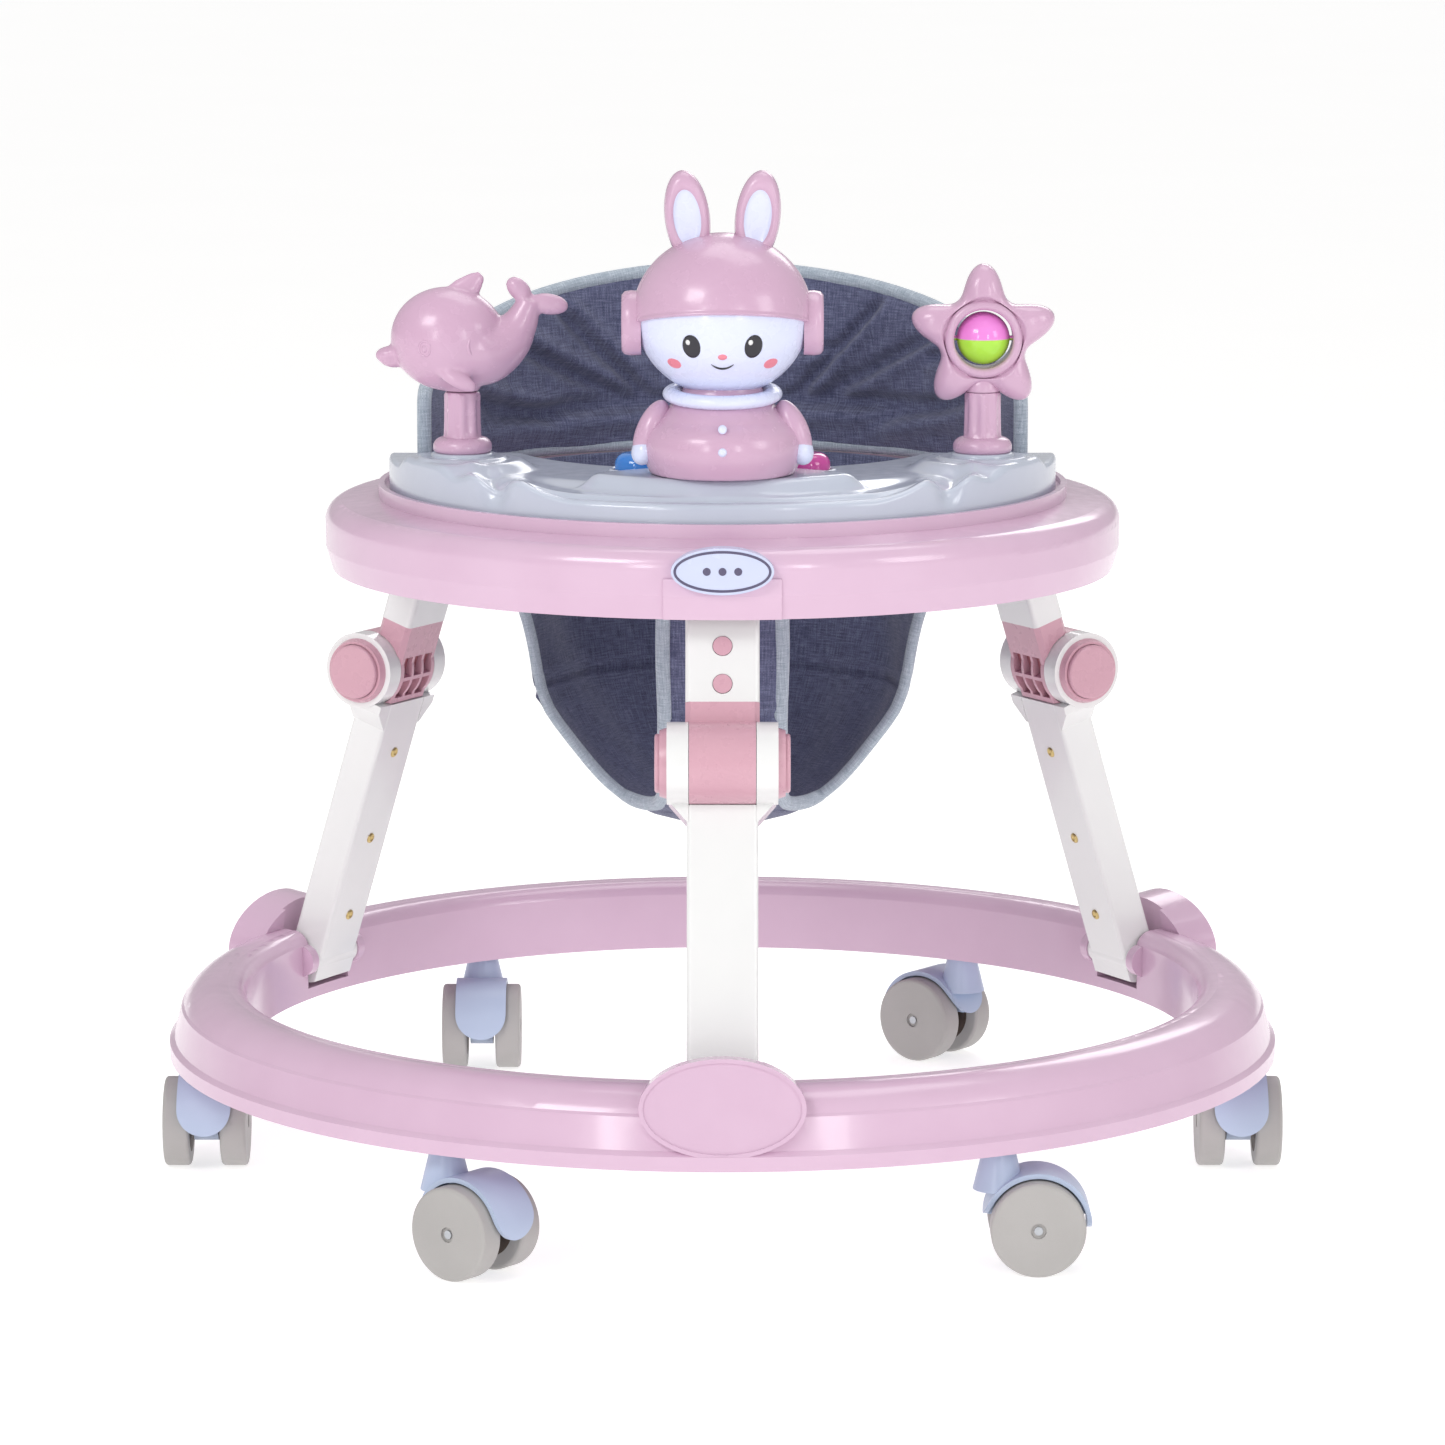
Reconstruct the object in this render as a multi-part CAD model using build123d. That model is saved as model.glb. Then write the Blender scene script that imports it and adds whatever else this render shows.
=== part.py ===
from build123d import *
import os
from math import atan2, cos, degrees, hypot, radians, sin

os.makedirs("parts", exist_ok=True)

# Baby walker. Millimetres, +Z up, -Y is the front.
# The origin is on the floor under the middle of the base ring.

# ---- driving sizes: base ring
base_outer_r = 341.0
base_ring_width = 47.5
base_inner_r = base_outer_r - base_ring_width
base_bottom_z = 72.0
base_inner_top_z = 110.0
base_crown_z = 117.0
base_crease_z = 103.0
base_lip_z = 83.0
shell_wall = 3.0
cover_thick = 3.0
cover_gap = 0.3
plate_half_width = 47.5
plate_half_height = 28.5
plate_centre_z = 107.5
plate_face_r = base_outer_r - 4.2
plate_depth = 24.0
plate_tilt = 8.0
plate_rim = 2.5
plate_recess = 0.8

# ---- driving sizes: running fits and clearances
shaft_fit = 0.05
seat_gap = 0.3

# ---- driving sizes: casters
caster_ring_r = base_outer_r - 23
screw_r = caster_ring_r
wheel_r = 27.5
wheel_width = 16.0
wheel_spacing = 35.0
trail = 22.0
fender_inner_r = wheel_r + 1.2
fender_outer_r = fender_inner_r + 2.8
fender_half_width = 16.5
web_half = 7.5
web_r = 12.0
upper_web_rise = 6.0
neck_top_r = 9.5
neck_bottom_r = 15.0
stem_r = 4.0
stem_top_z = 100.0
stem_low_z = wheel_r + 22.5
axle_r = 2.5
hub_recess_r = 4.5
hub_recess_depth = 1.5
inner_dish_r = 19.0
inner_dish_depth = 2.5
inner_hub_r = 6.0
tread_round = 2.2

# ---- driving sizes: legs. Radii are from the middle of the ring, for the front leg along -Y
tray_r = 242.0
tray_shelf_z = 420.0
foot_r = base_inner_r + 0.5
foot_z = 98.0
tray_pivot_r = tray_r - 30
tray_pivot_z = tray_shelf_z - 28
knee_share = 24 / 41
knee_r = foot_r + (tray_pivot_r - foot_r) * knee_share
knee_z = tray_pivot_z - 102
leg_lean = degrees(atan2(foot_r - tray_pivot_r, tray_pivot_z - foot_z)) + 2.4145
leg_half_width = 20.5
leg_depth = 24.0
leg_face = -1.65
foot_pin_r = 4.0
foot_hub_r = 9.0
foot_end_r = 15.3
notch_half_width = 23.0
notch_outer_r = base_outer_r - 29
notch_floor_z = 79.0
lug_r = 10.0
lug_half_width = 30.0

# ---- driving sizes: fold hinge in the middle of each leg
barrel_r = 23.85
barrel_half = 19.2
ear_inner = 19.5
ear_outer = 32.0
barrel_gap = 0.45
hinge_pin_r = 6.0
button_stem_r = 3.0
bezel_r = barrel_r - 3.35
bezel_height = 4.2
button_r = bezel_r - 3.5
button_face = 39.0
button_back = 33.5
pocket_depth = 5.0
knuckle_low_s = -16.0
sleeve_low_s = barrel_r + 11.85
sleeve_half_width = 21.4
sleeve_depth = 22.0
sleeve_face = -0.65
sleeve_wall = 2.5
window_width = 8.6
window_height = 12.5
window_depth = 4.0
snap_r = 5.5
snap_places = (sleeve_low_s + 10.4, sleeve_low_s + 32.4)

# ---- driving sizes: tray
tray_bottom_z = tray_shelf_z - 48
tray_lip_z = tray_shelf_z + 3
tray_lip_r = tray_r - 32.4
tray_lip_width = 3.6
tray_wall = 3.0
seat_centre_y = 25.0
seat_hole_r = 150.0
frame_thick = 4.0
pivot_pin_r = 3.0
pivot_lug_r = 11.0
pivot_play = 3.6
cheek_inner = 24.0
cheek_outer = 28.0
badge_half_width = 29.5
badge_half_height = 13.5
badge_z = tray_bottom_z + 29

# ---- driving sizes: toy tray and toys
toy_outer_r = tray_lip_r - 6.6
toy_inner_r = seat_hole_r - 20
toy_inner_y = seat_centre_y + 20
toy_top_z = tray_shelf_z + 20
toy_platform_z = toy_top_z + 6
toy_wall = 3.0
post_x = toy_outer_r - 48
post_y = -80.0
lobe_r = 42.0
lobe_top_z = toy_top_z + 10
post_collar_r = 17.5
post_r = 10.0
post_top_z = lobe_top_z + 36
post_pin_r = 4.0
rabbit_y = 53 - toy_outer_r
music_x = 50.0
music_y = -100.0
music_r = 14.0
music_travel = 2.0
ball_r = 15.8
star_hole_r = 17.5
star_z = post_top_z + 32

# ---- driving sizes: soft goods
pad_mid_r = seat_centre_y + seat_hole_r + 7
pad_thick = 18.0
pad_top_z = tray_shelf_z + 118
sling_thick = 3.5

leg_angles = {"front": 0.0, "right": 120.0, "left": -120.0}
casters = {
    "front_left": (-30.0, -38.0),
    "front_right": (30.0, 0.0),
    "side_right": (90.0, -90.0),
    "side_left": (-90.0, -90.0),
    "rear_right": (150.0, 142.0),
    "rear_left": (-150.0, -90.0),
}


def save(name, *solids):
    """Writes one node from its solids."""
    shape = solids[0] if len(solids) == 1 else Compound(children=list(solids))
    export_step(shape, f"parts/{name}.step")


def block(x0, x1, y0, y1, z0, z1):
    middle = Pos((x0 + x1) / 2, (y0 + y1) / 2, (z0 + z1) / 2)
    return middle * Box(x1 - x0, y1 - y0, z1 - z0)


def rod_x(radius, x0, x1):
    """A round rod along X."""
    return Pos((x0 + x1) / 2, 0, 0) * Rotation(0, 90, 0) * Cylinder(radius, x1 - x0)


def rod_y(radius, y0, y1):
    """A round rod along Y."""
    return Pos(0, (y0 + y1) / 2, 0) * Rotation(90, 0, 0) * Cylinder(radius, y1 - y0)


def rod_z(radius, z0, z1):
    """A round rod along Z."""
    return Pos(0, 0, (z0 + z1) / 2) * Cylinder(radius, z1 - z0)


def lathe(outline):
    """Turns an (r, z) outline about the Z axis."""
    return revolve(Plane.XZ * outline, Axis.Z)


def polygon(*points):
    return make_face(Polyline(*points, close=True))


def around(degrees_z):
    return Rotation(0, 0, degrees_z)


def both_sides(shape):
    """A shape and its mirror image across the leg."""
    return [shape, mirror(shape, Plane.YZ)]


# ---- places along a leg: X across it, Y inward through its depth, Z up along it, from the knee
lean_cos = cos(radians(leg_lean))
lean_sin = sin(radians(leg_lean))
leg_frame = Pos(0, -knee_r, knee_z) * Rotation(-leg_lean, 0, 0)


def along_leg(r, z):
    """Inward and upward distance from the knee, in the leg's own directions, of a point at (r, z)."""
    inward = knee_r - r
    rise = z - knee_z
    return inward * lean_cos - rise * lean_sin, inward * lean_sin + rise * lean_cos


foot_n, foot_s = along_leg(foot_r, foot_z)
pivot_n, pivot_s = along_leg(tray_pivot_r, tray_pivot_z)
sleeve_top_s = pivot_s + 4.7
leg_back = leg_face + leg_depth
sleeve_back = sleeve_face + sleeve_depth

# ---- base ring shell: an open-bottomed moulding with three oval plates, leg notches, sockets and screw posts
ring_edge = (
    Line((base_inner_r, base_bottom_z), (base_inner_r, base_inner_top_z - 2))
    + ThreePointArc(
        (base_inner_r, base_inner_top_z - 2),
        (base_inner_r + 4, base_inner_top_z + 4),
        (base_inner_r + 12, base_crown_z - 1),
    )
    + ThreePointArc(
        (base_inner_r + 12, base_crown_z - 1),
        (base_outer_r - 24, base_crown_z - 1.5),
        (base_outer_r - 9, base_crease_z),
    )
    + Line((base_outer_r - 9, base_crease_z), (base_outer_r - 7.5, base_crease_z - 1.5))
    + Line((base_outer_r - 7.5, base_crease_z - 1.5), (base_outer_r - 3, base_lip_z))
    + Line((base_outer_r - 3, base_lip_z), (base_outer_r, base_lip_z - 2.5))
    + Line((base_outer_r, base_lip_z - 2.5), (base_outer_r, base_bottom_z))
    + Line((base_outer_r, base_bottom_z), (base_inner_r, base_bottom_z))
)
ring_outline = make_face(ring_edge)
cavity_outline = offset(ring_outline, -shell_wall)
cavity_low = base_bottom_z - 1
cavity_foot = polygon(
    (base_inner_r + shell_wall, cavity_low),
    (base_outer_r - shell_wall, cavity_low),
    (base_outer_r - shell_wall, base_bottom_z + shell_wall + 1),
    (base_inner_r + shell_wall, base_bottom_z + shell_wall + 1),
)
plate_frame = Pos(0, -plate_face_r, plate_centre_z) * Rotation(90 - plate_tilt, 0, 0)
plate_body = plate_frame * extrude(Ellipse(plate_half_width, plate_half_height), -plate_depth)
plate_hollow = plate_frame * Pos(0, 0, -shell_wall) * extrude(
    Ellipse(plate_half_width - shell_wall, plate_half_height - shell_wall), -(plate_depth - 2 * shell_wall)
)
plate_face = plate_frame * Pos(0, 0, -plate_recess) * extrude(
    Ellipse(plate_half_width - plate_rim, plate_half_height - plate_rim), 2 * plate_recess
)
notch_side = notch_half_width + shell_wall
notch_wall_r = notch_outer_r + shell_wall
notch_block = block(-notch_side, notch_side, -notch_wall_r, -base_inner_r + 5, base_bottom_z - 2, 150)
notch_cut = block(-notch_half_width, notch_half_width, -notch_outer_r, -base_inner_r + 20, notch_floor_z, 150)

ring_outer = lathe(ring_outline)
ring_cavity = lathe(cavity_outline) + lathe(cavity_foot)
for angle in leg_angles.values():
    ring_cavity = ring_cavity - around(angle) * notch_block

shell = ring_outer
for angle in leg_angles.values():
    shell = shell + around(angle) * plate_body
shell = shell - ring_cavity
for angle in leg_angles.values():
    shell = shell - around(angle) * (plate_hollow - notch_block)
    shell = shell - around(angle) * plate_face

socket_top_z = base_crown_z
screw_post_r = 5.0
posts_up = []
for angle, turn in casters.values():
    socket = rod_z(stem_r + 5, base_bottom_z + cover_thick, socket_top_z)
    posts_up.append(around(angle) * Pos(0, -caster_ring_r, 0) * socket)
screw_angles = [leg + side for leg in leg_angles.values() for side in (-12.0, 12.0, 60.0)]
for angle in screw_angles:
    screw_post = rod_z(screw_post_r, base_bottom_z + cover_thick, socket_top_z)
    posts_up.append(around(angle) * Pos(0, -screw_r, 0) * screw_post)
for post in posts_up:
    shell = shell + (post & ring_outer)
for angle, turn in casters.values():
    stem_hole = rod_z(stem_r + shaft_fit, base_bottom_z, stem_top_z + 1)
    shell = shell - around(angle) * Pos(0, -caster_ring_r, 0) * stem_hole
screw_shank_r = 1.9
screw_top_z = 90.0
for angle in screw_angles:
    screw_hole = rod_z(screw_shank_r + shaft_fit, base_bottom_z, screw_top_z + 1)
    shell = shell - around(angle) * Pos(0, -screw_r, 0) * screw_hole

foot_axis = Pos(0, -foot_r, foot_z)
foot_lug = foot_axis * rod_x(lug_r, -lug_half_width, lug_half_width)
foot_hole = foot_axis * rod_x(foot_pin_r + shaft_fit, -lug_half_width + 2, lug_half_width - 2)
for angle in leg_angles.values():
    shell = shell + around(angle) * foot_lug
    shell = shell - around(angle) * notch_cut
    shell = shell - around(angle) * foot_hole
save("base_shell", shell)

# ---- bottom cover: a flat ring inside the shell's lower edge, notched round the leg pockets
cover_outline = polygon(
    (base_inner_r + shell_wall + cover_gap, base_bottom_z),
    (base_outer_r - shell_wall - cover_gap, base_bottom_z),
    (base_outer_r - shell_wall - cover_gap, base_bottom_z + cover_thick),
    (base_inner_r + shell_wall + cover_gap, base_bottom_z + cover_thick),
)
cover = lathe(cover_outline)
cover_notch = block(
    -notch_side - cover_gap,
    notch_side + cover_gap,
    -notch_wall_r - cover_gap,
    -base_inner_r + 5,
    base_bottom_z - 1,
    base_bottom_z + cover_thick + 1,
)
for angle in leg_angles.values():
    cover = cover - around(angle) * cover_notch
for angle, turn in casters.values():
    stem_hole = rod_z(stem_r + cover_gap, base_bottom_z - 1, base_bottom_z + 5)
    cover = cover - around(angle) * Pos(0, -caster_ring_r, 0) * stem_hole
for angle in screw_angles:
    screw_hole = rod_z(screw_shank_r + cover_gap, base_bottom_z - 1, base_bottom_z + 5)
    cover = cover - around(angle) * Pos(0, -screw_r, 0) * screw_hole
save("base_cover", cover)

screw_head_r = 4.0
screw_head_height = 1.8
screws = []
for angle in screw_angles:
    screw = rod_z(screw_shank_r, base_bottom_z, screw_top_z)
    screw = screw + rod_z(screw_head_r, base_bottom_z - screw_head_height, base_bottom_z)
    slot_low_z = base_bottom_z - screw_head_height - 1
    slot = block(-screw_head_r, screw_head_r, -0.4, 0.4, slot_low_z, base_bottom_z - 1)
    screws.append(around(angle) * Pos(0, -screw_r, 0) * (screw - slot))
save("base_screws", *screws)

# ---- foot pins: one through each leg pocket
foot_pin = foot_axis * rod_x(foot_pin_r, -lug_half_width + 2.2, lug_half_width - 2.2)
save("foot_pins", *[around(angle) * foot_pin for angle in leg_angles.values()])

# ---- casters: a stem in the base, a hood that swivels on it, and two wheels on one axle
stem_flange_r = 8.0
neck_top_z = base_bottom_z - 2.3
stem = rod_z(stem_r, stem_low_z, stem_top_z) + rod_z(stem_flange_r, base_bottom_z - 2, base_bottom_z)
save("caster_stems", *[around(angle) * Pos(0, -caster_ring_r, 0) * stem for angle, turn in casters.values()])

axle_axis = Pos(trail, 0, wheel_r)
neck_low_z = wheel_r + 19.5
tongue_stem_z = wheel_r + 21.5
tongue_tail_z = wheel_r + 13.5
fender = axle_axis * (
    rod_y(fender_outer_r, -fender_half_width, fender_half_width)
    - rod_y(fender_inner_r, -fender_half_width - 1, fender_half_width + 1)
)
stem_mask = block(-40, trail, -20, 20, tongue_stem_z, 90)
stem_mask = stem_mask + Pos(0, 0, tongue_stem_z) * rod_x(fender_half_width, -40, trail)
tail_mask = block(trail, 80, -20, 20, tongue_tail_z, 90)
tail_mask = tail_mask + Pos(0, 0, tongue_tail_z) * rod_x(fender_half_width, trail, 80)
fender = fender & (stem_mask + tail_mask)
neck = Pos(0, 0, (neck_low_z + neck_top_z) / 2) * Cone(neck_bottom_r, neck_top_r, neck_top_z - neck_low_z)
neck = neck - axle_axis * rod_y(fender_inner_r, -20, 20)
web = axle_axis * rod_y(web_r, -web_half, web_half)
upper_web = axle_axis * rod_y(fender_inner_r + 0.5, -web_half, web_half)
upper_web = upper_web & block(-10, 60, -20, 20, wheel_r + upper_web_rise, 80)
stem_bore = rod_z(stem_r + shaft_fit, stem_low_z - 2, neck_top_z + 1)
axle_bore = axle_axis * rod_y(axle_r + shaft_fit, -20, 20)
hood = fender + neck + web + upper_web - stem_bore - axle_bore

wheel_in = wheel_spacing / 2 - wheel_width / 2
wheel_out = wheel_spacing / 2 + wheel_width / 2
wheel = rod_y(wheel_r, wheel_in, wheel_out)
wheel = fillet(wheel.edges().filter_by(GeomType.CIRCLE), tread_round)
wheel = wheel - rod_y(hub_recess_r, wheel_out - hub_recess_depth, wheel_out + 1)
inner_dish = rod_y(inner_dish_r, wheel_in - 1, wheel_in + inner_dish_depth)
inner_dish = inner_dish - rod_y(inner_hub_r, wheel_in - 2, wheel_in + 3)
wheel = wheel - inner_dish
wheel = wheel - rod_y(axle_r + shaft_fit, wheel_in - 1, wheel_out + 1)
axle = rod_y(axle_r, -wheel_out + 2 * seat_gap, wheel_out - 2 * seat_gap)

for name, (angle, turn) in casters.items():
    stem_place = around(angle) * Pos(0, -caster_ring_r, 0)
    place = Pos(*tuple(stem_place.position)) * around(turn)
    save(f"caster_{name}_hood", place * hood)
    save(f"caster_{name}_wheels", place * axle_axis * wheel, place * axle_axis * around(180) * wheel)
    save(f"caster_{name}_axle", place * axle_axis * axle)

# ---- lower leg: a flat tube from the foot pin to a fork that holds the hinge
lower = block(-leg_half_width, leg_half_width, leg_face, leg_back, foot_s, knuckle_low_s - 0.5)
lower = fillet(lower.edges().filter_by(Axis.Z), 2.5)
foot_end = Pos(0, foot_n, foot_s) * rod_x(foot_end_r, -leg_half_width, leg_half_width)
foot_low_s = foot_s - foot_end_r
foot_end = foot_end & block(-leg_half_width, leg_half_width, leg_face, leg_back, foot_low_s, foot_s + 1)
lower = lower + foot_end
foot_hub_half = notch_half_width - seat_gap
lower = lower + Pos(0, foot_n, foot_s) * rod_x(foot_hub_r, -foot_hub_half, foot_hub_half)
lower = lower - rod_x(barrel_r + barrel_gap, -ear_inner, ear_inner)
cheek_side = Plane.XZ * polygon(
    (ear_inner, knuckle_low_s - 0.5),
    (ear_outer - 1, knuckle_low_s - 0.5),
    (ear_outer - 1, -22),
    (leg_half_width, -34),
    (ear_inner, -34),
)
cheek_side = Pos(0, leg_face, 0) * extrude(cheek_side, -leg_depth)
for side in both_sides(cheek_side + rod_x(barrel_r, ear_inner, ear_outer)):
    lower = lower + side
lower = lower - rod_x(barrel_r + barrel_gap, -ear_inner, ear_inner)
lower = lower - rod_x(hinge_pin_r + shaft_fit, -ear_outer - 1, ear_outer + 1)
pocket_floor = ear_outer - pocket_depth
for side in both_sides(rod_x(button_r + seat_gap, pocket_floor, ear_outer + 1)):
    lower = lower - side
lower = lower - Pos(0, foot_n, foot_s) * rod_x(foot_pin_r + shaft_fit, -40, 40)

# ---- hinge pin: a tube through both ears and the barrel, flanged at each pocket floor
pin_flange_r = 9.0
pin_flange = 1.4
hinge_pin = rod_x(hinge_pin_r, -pocket_floor, pocket_floor)
for side in both_sides(rod_x(pin_flange_r, pocket_floor, pocket_floor + pin_flange)):
    hinge_pin = hinge_pin + side
hinge_pin = hinge_pin - rod_x(button_stem_r + shaft_fit, -40, 40)

# ---- bezel and release button at each end of the hinge
bezel_taper = 1.5
bezel = Rotation(0, 90, 0) * Cone(bezel_r, bezel_r - bezel_taper, bezel_height)
bezel = Pos(ear_outer + bezel_height / 2, 0, 0) * bezel
bezel = bezel - rod_x(button_r + seat_gap, ear_outer - 1, ear_outer + bezel_height + 1)
button = rod_x(button_r, button_back, button_face)
button = fillet(button.edges().filter_by(GeomType.CIRCLE).sort_by(Axis.X)[-1:], 1.5)
button = button + rod_x(button_stem_r, 15, button_back)

# ---- knuckle: barrel, block with a window grid on its inner face, and a tongue inside the sleeve
knuckle = block(-sleeve_half_width, sleeve_half_width, sleeve_face, sleeve_back, knuckle_low_s, sleeve_low_s)
knuckle = chamfer(knuckle.edges().filter_by(Axis.Z), 3)
for side in both_sides(rod_x(barrel_r + barrel_gap, barrel_half, sleeve_half_width + 1)):
    knuckle = knuckle - side
knuckle = knuckle + rod_x(barrel_r, -barrel_half, barrel_half)
tongue_half_width = sleeve_half_width - sleeve_wall - seat_gap
tongue_top_s = sleeve_low_s + 46.3
tongue = block(
    -tongue_half_width,
    tongue_half_width,
    sleeve_face + sleeve_wall + seat_gap,
    sleeve_back - sleeve_wall - seat_gap,
    sleeve_low_s - 1,
    tongue_top_s,
)
knuckle = knuckle + tongue
for snap in snap_places:
    knuckle = knuckle + Pos(0, 0, snap) * rod_y(snap_r, sleeve_face - 0.6, sleeve_face + sleeve_wall + 1)
for column in (-1, 0, 1):
    for row in (0, 1):
        x = column * (window_width + 2.6)
        s = -6.5 + row * (window_height + 2.4)
        knuckle = knuckle - block(
            x - window_width / 2,
            x + window_width / 2,
            sleeve_back - window_depth,
            barrel_r + 1,
            s - window_height / 2,
            s + window_height / 2,
        )
knuckle = knuckle - rod_x(hinge_pin_r + shaft_fit, -40, 40)

# ---- sleeve: the upper white tube, with a lug at its top for the tray pivot
shoulder_s = tongue_top_s + 6
shoulder_n = 12.0


def sleeve(hole_r, hub_half):
    tube = block(-sleeve_half_width, sleeve_half_width, sleeve_face, sleeve_back, sleeve_low_s, sleeve_top_s)
    tube = fillet(tube.edges().filter_by(Axis.Z), 3)
    tube = tube - block(
        -sleeve_half_width + sleeve_wall,
        sleeve_half_width - sleeve_wall,
        sleeve_face + sleeve_wall,
        sleeve_back - sleeve_wall,
        sleeve_low_s - 1,
        tongue_top_s + 2,
    )
    slope_high = sleeve_top_s + 9
    slope = polygon((sleeve_back, shoulder_s), (sleeve_back + 2, slope_high), (shoulder_n - 3, slope_high))
    slope = Plane.YZ * slope
    tube = tube - extrude(slope, 60, both=True)
    tube = tube + Pos(0, pivot_n, pivot_s) * rod_x(pivot_lug_r, -hub_half, hub_half)
    for snap in snap_places:
        snap_hole = rod_y(snap_r + seat_gap, sleeve_face - 2, sleeve_face + sleeve_wall + 1)
        tube = tube - Pos(0, 0, snap) * snap_hole
    return tube - Pos(0, pivot_n, pivot_s) * rod_x(hole_r, -40, 40)


for name, angle in leg_angles.items():
    place = around(angle) * leg_frame
    close_fit = name == "front"
    hole_r = pivot_pin_r + (shaft_fit if close_fit else pivot_play)
    hub_half = cheek_inner - seat_gap if close_fit else sleeve_half_width
    save(f"{name}_lower_leg", place * lower)
    save(f"{name}_hinge_pin", place * hinge_pin)
    save(f"{name}_bezels", *[place * piece for piece in both_sides(bezel)])
    save(f"{name}_button_1", place * button)
    save(f"{name}_button_2", place * both_sides(button)[1])
    save(f"{name}_knuckle", place * knuckle)
    save(f"{name}_sleeve", place * sleeve(hole_r, hub_half))

# ---- tray ring: a skirted moulding with a shelf inside its lip, open over the seat
def skirt_outline(grow):
    """The ring's section, from its lower edge over the shoulder to the shelf; grow moves the skirt out."""
    outer = tray_r + grow
    inner = tray_r - tray_wall
    shelf_low = tray_shelf_z - tray_wall
    lip_inner_r = tray_lip_r - tray_lip_width
    edge = (
        Line((outer - 4, tray_bottom_z), (outer, tray_bottom_z + 14))
        + Line((outer, tray_bottom_z + 14), (outer, tray_bottom_z + 28))
        + ThreePointArc(
            (outer, tray_bottom_z + 28), (outer - 2.4, tray_bottom_z + 36), (outer - 10, tray_bottom_z + 40.5)
        )
        + Line((outer - 10, tray_bottom_z + 40.5), (tray_lip_r, tray_shelf_z - 5))
        + Line((tray_lip_r, tray_shelf_z - 5), (tray_lip_r, tray_lip_z))
        + Line((tray_lip_r, tray_lip_z), (lip_inner_r, tray_lip_z))
        + Line((lip_inner_r, tray_lip_z), (lip_inner_r, tray_shelf_z))
        + Line((lip_inner_r, tray_shelf_z), (0, tray_shelf_z))
        + Line((0, tray_shelf_z), (0, shelf_low))
        + Line((0, shelf_low), (tray_lip_r - 2, shelf_low))
        + Line((tray_lip_r - 2, shelf_low), (tray_lip_r - 2, tray_shelf_z - 8))
        + Line((tray_lip_r - 2, tray_shelf_z - 8), (inner - 8.5, tray_bottom_z + 37.5))
        + ThreePointArc(
            (inner - 8.5, tray_bottom_z + 37.5), (inner - 2, tray_bottom_z + 34), (inner, tray_bottom_z + 28)
        )
        + Line((inner, tray_bottom_z + 28), (inner, tray_bottom_z + 14))
        + Line((inner, tray_bottom_z + 14), (inner - 4, tray_bottom_z))
        + Line((inner - 4, tray_bottom_z), (outer - 4, tray_bottom_z))
    )
    return make_face(edge)


seat_hole = Pos(0, seat_centre_y, 0) * rod_z(seat_hole_r, tray_bottom_z, tray_lip_z + 20)
panel_half_width = 34.0
panel_top_z = tray_bottom_z + 24
panel_rise = 1.4
tray_ring = lathe(skirt_outline(0)) - seat_hole
panel_back_y = -tray_r + 40
panel_slab = block(-panel_half_width, panel_half_width, -tray_r - 20, panel_back_y, tray_bottom_z, panel_top_z)
panel = lathe(skirt_outline(panel_rise)) & panel_slab
tray_ring = tray_ring + panel
save("tray_ring", tray_ring)

# ---- badge: a blank oval plate whose back follows the skirt
badge_front = 4.5
badge_prism = Pos(0, -tray_r - badge_front, badge_z) * Rotation(90, 0, 0) * extrude(
    Ellipse(badge_half_width, badge_half_height), -badge_front - 6
)
skirt_solid = lathe(
    make_face(
        Polyline(
            (0, tray_bottom_z),
            (tray_r - 4 + panel_rise, tray_bottom_z),
            (tray_r + panel_rise, tray_bottom_z + 14),
            (tray_r + panel_rise, panel_top_z),
            (tray_r, panel_top_z),
            (tray_r, tray_bottom_z + 28),
        )
        + ThreePointArc(
            (tray_r, tray_bottom_z + 28), (tray_r - 2.4, tray_bottom_z + 36), (tray_r - 10, tray_bottom_z + 40.5)
        )
        + Polyline(
            (tray_r - 10, tray_bottom_z + 40.5),
            (tray_lip_r, tray_shelf_z - 5),
            (0, tray_shelf_z - 5),
            (0, tray_bottom_z),
        )
    )
)
save("badge", badge_prism - skirt_solid)

# ---- tray underframe: a plate under the shelf with a pair of cheeks for each leg pivot
frame_top_z = tray_shelf_z - tray_wall
frame_low_z = frame_top_z - frame_thick
frame_outer_r = tray_lip_r - 2.4
underframe = rod_z(frame_outer_r, frame_low_z, frame_top_z) - seat_hole
cheek_outline = Plane.YZ * polygon(
    (-frame_outer_r + 6, frame_low_z + 2),
    (-tray_pivot_r - 8.5, tray_pivot_z + 3),
    (-tray_pivot_r, tray_pivot_z - 5),
    (-tray_pivot_r + 8.5, tray_pivot_z - 2),
    (-tray_pivot_r + 24, frame_low_z + 2),
)
cheek = Pos(cheek_inner, 0, 0) * extrude(cheek_outline, cheek_outer - cheek_inner)
cheek = cheek + Pos(0, -tray_pivot_r, tray_pivot_z) * rod_x(9, cheek_inner, cheek_outer)
cheek = cheek - Pos(0, -tray_pivot_r, tray_pivot_z) * rod_x(pivot_pin_r + shaft_fit, 0, 40)
tray_screw_r = tray_lip_r - 12.6
tray_screw_angles = [leg + side for leg in leg_angles.values() for side in (-30.0, 30.0, 60.0)]
for angle in leg_angles.values():
    for piece in both_sides(cheek):
        underframe = underframe + around(angle) * piece
for angle in tray_screw_angles:
    screw_hole = rod_z(screw_shank_r + cover_gap, frame_low_z - 1, frame_top_z + 1)
    underframe = underframe - around(angle) * Pos(0, -tray_screw_r, 0) * screw_hole
save("tray_underframe", underframe)

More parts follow.
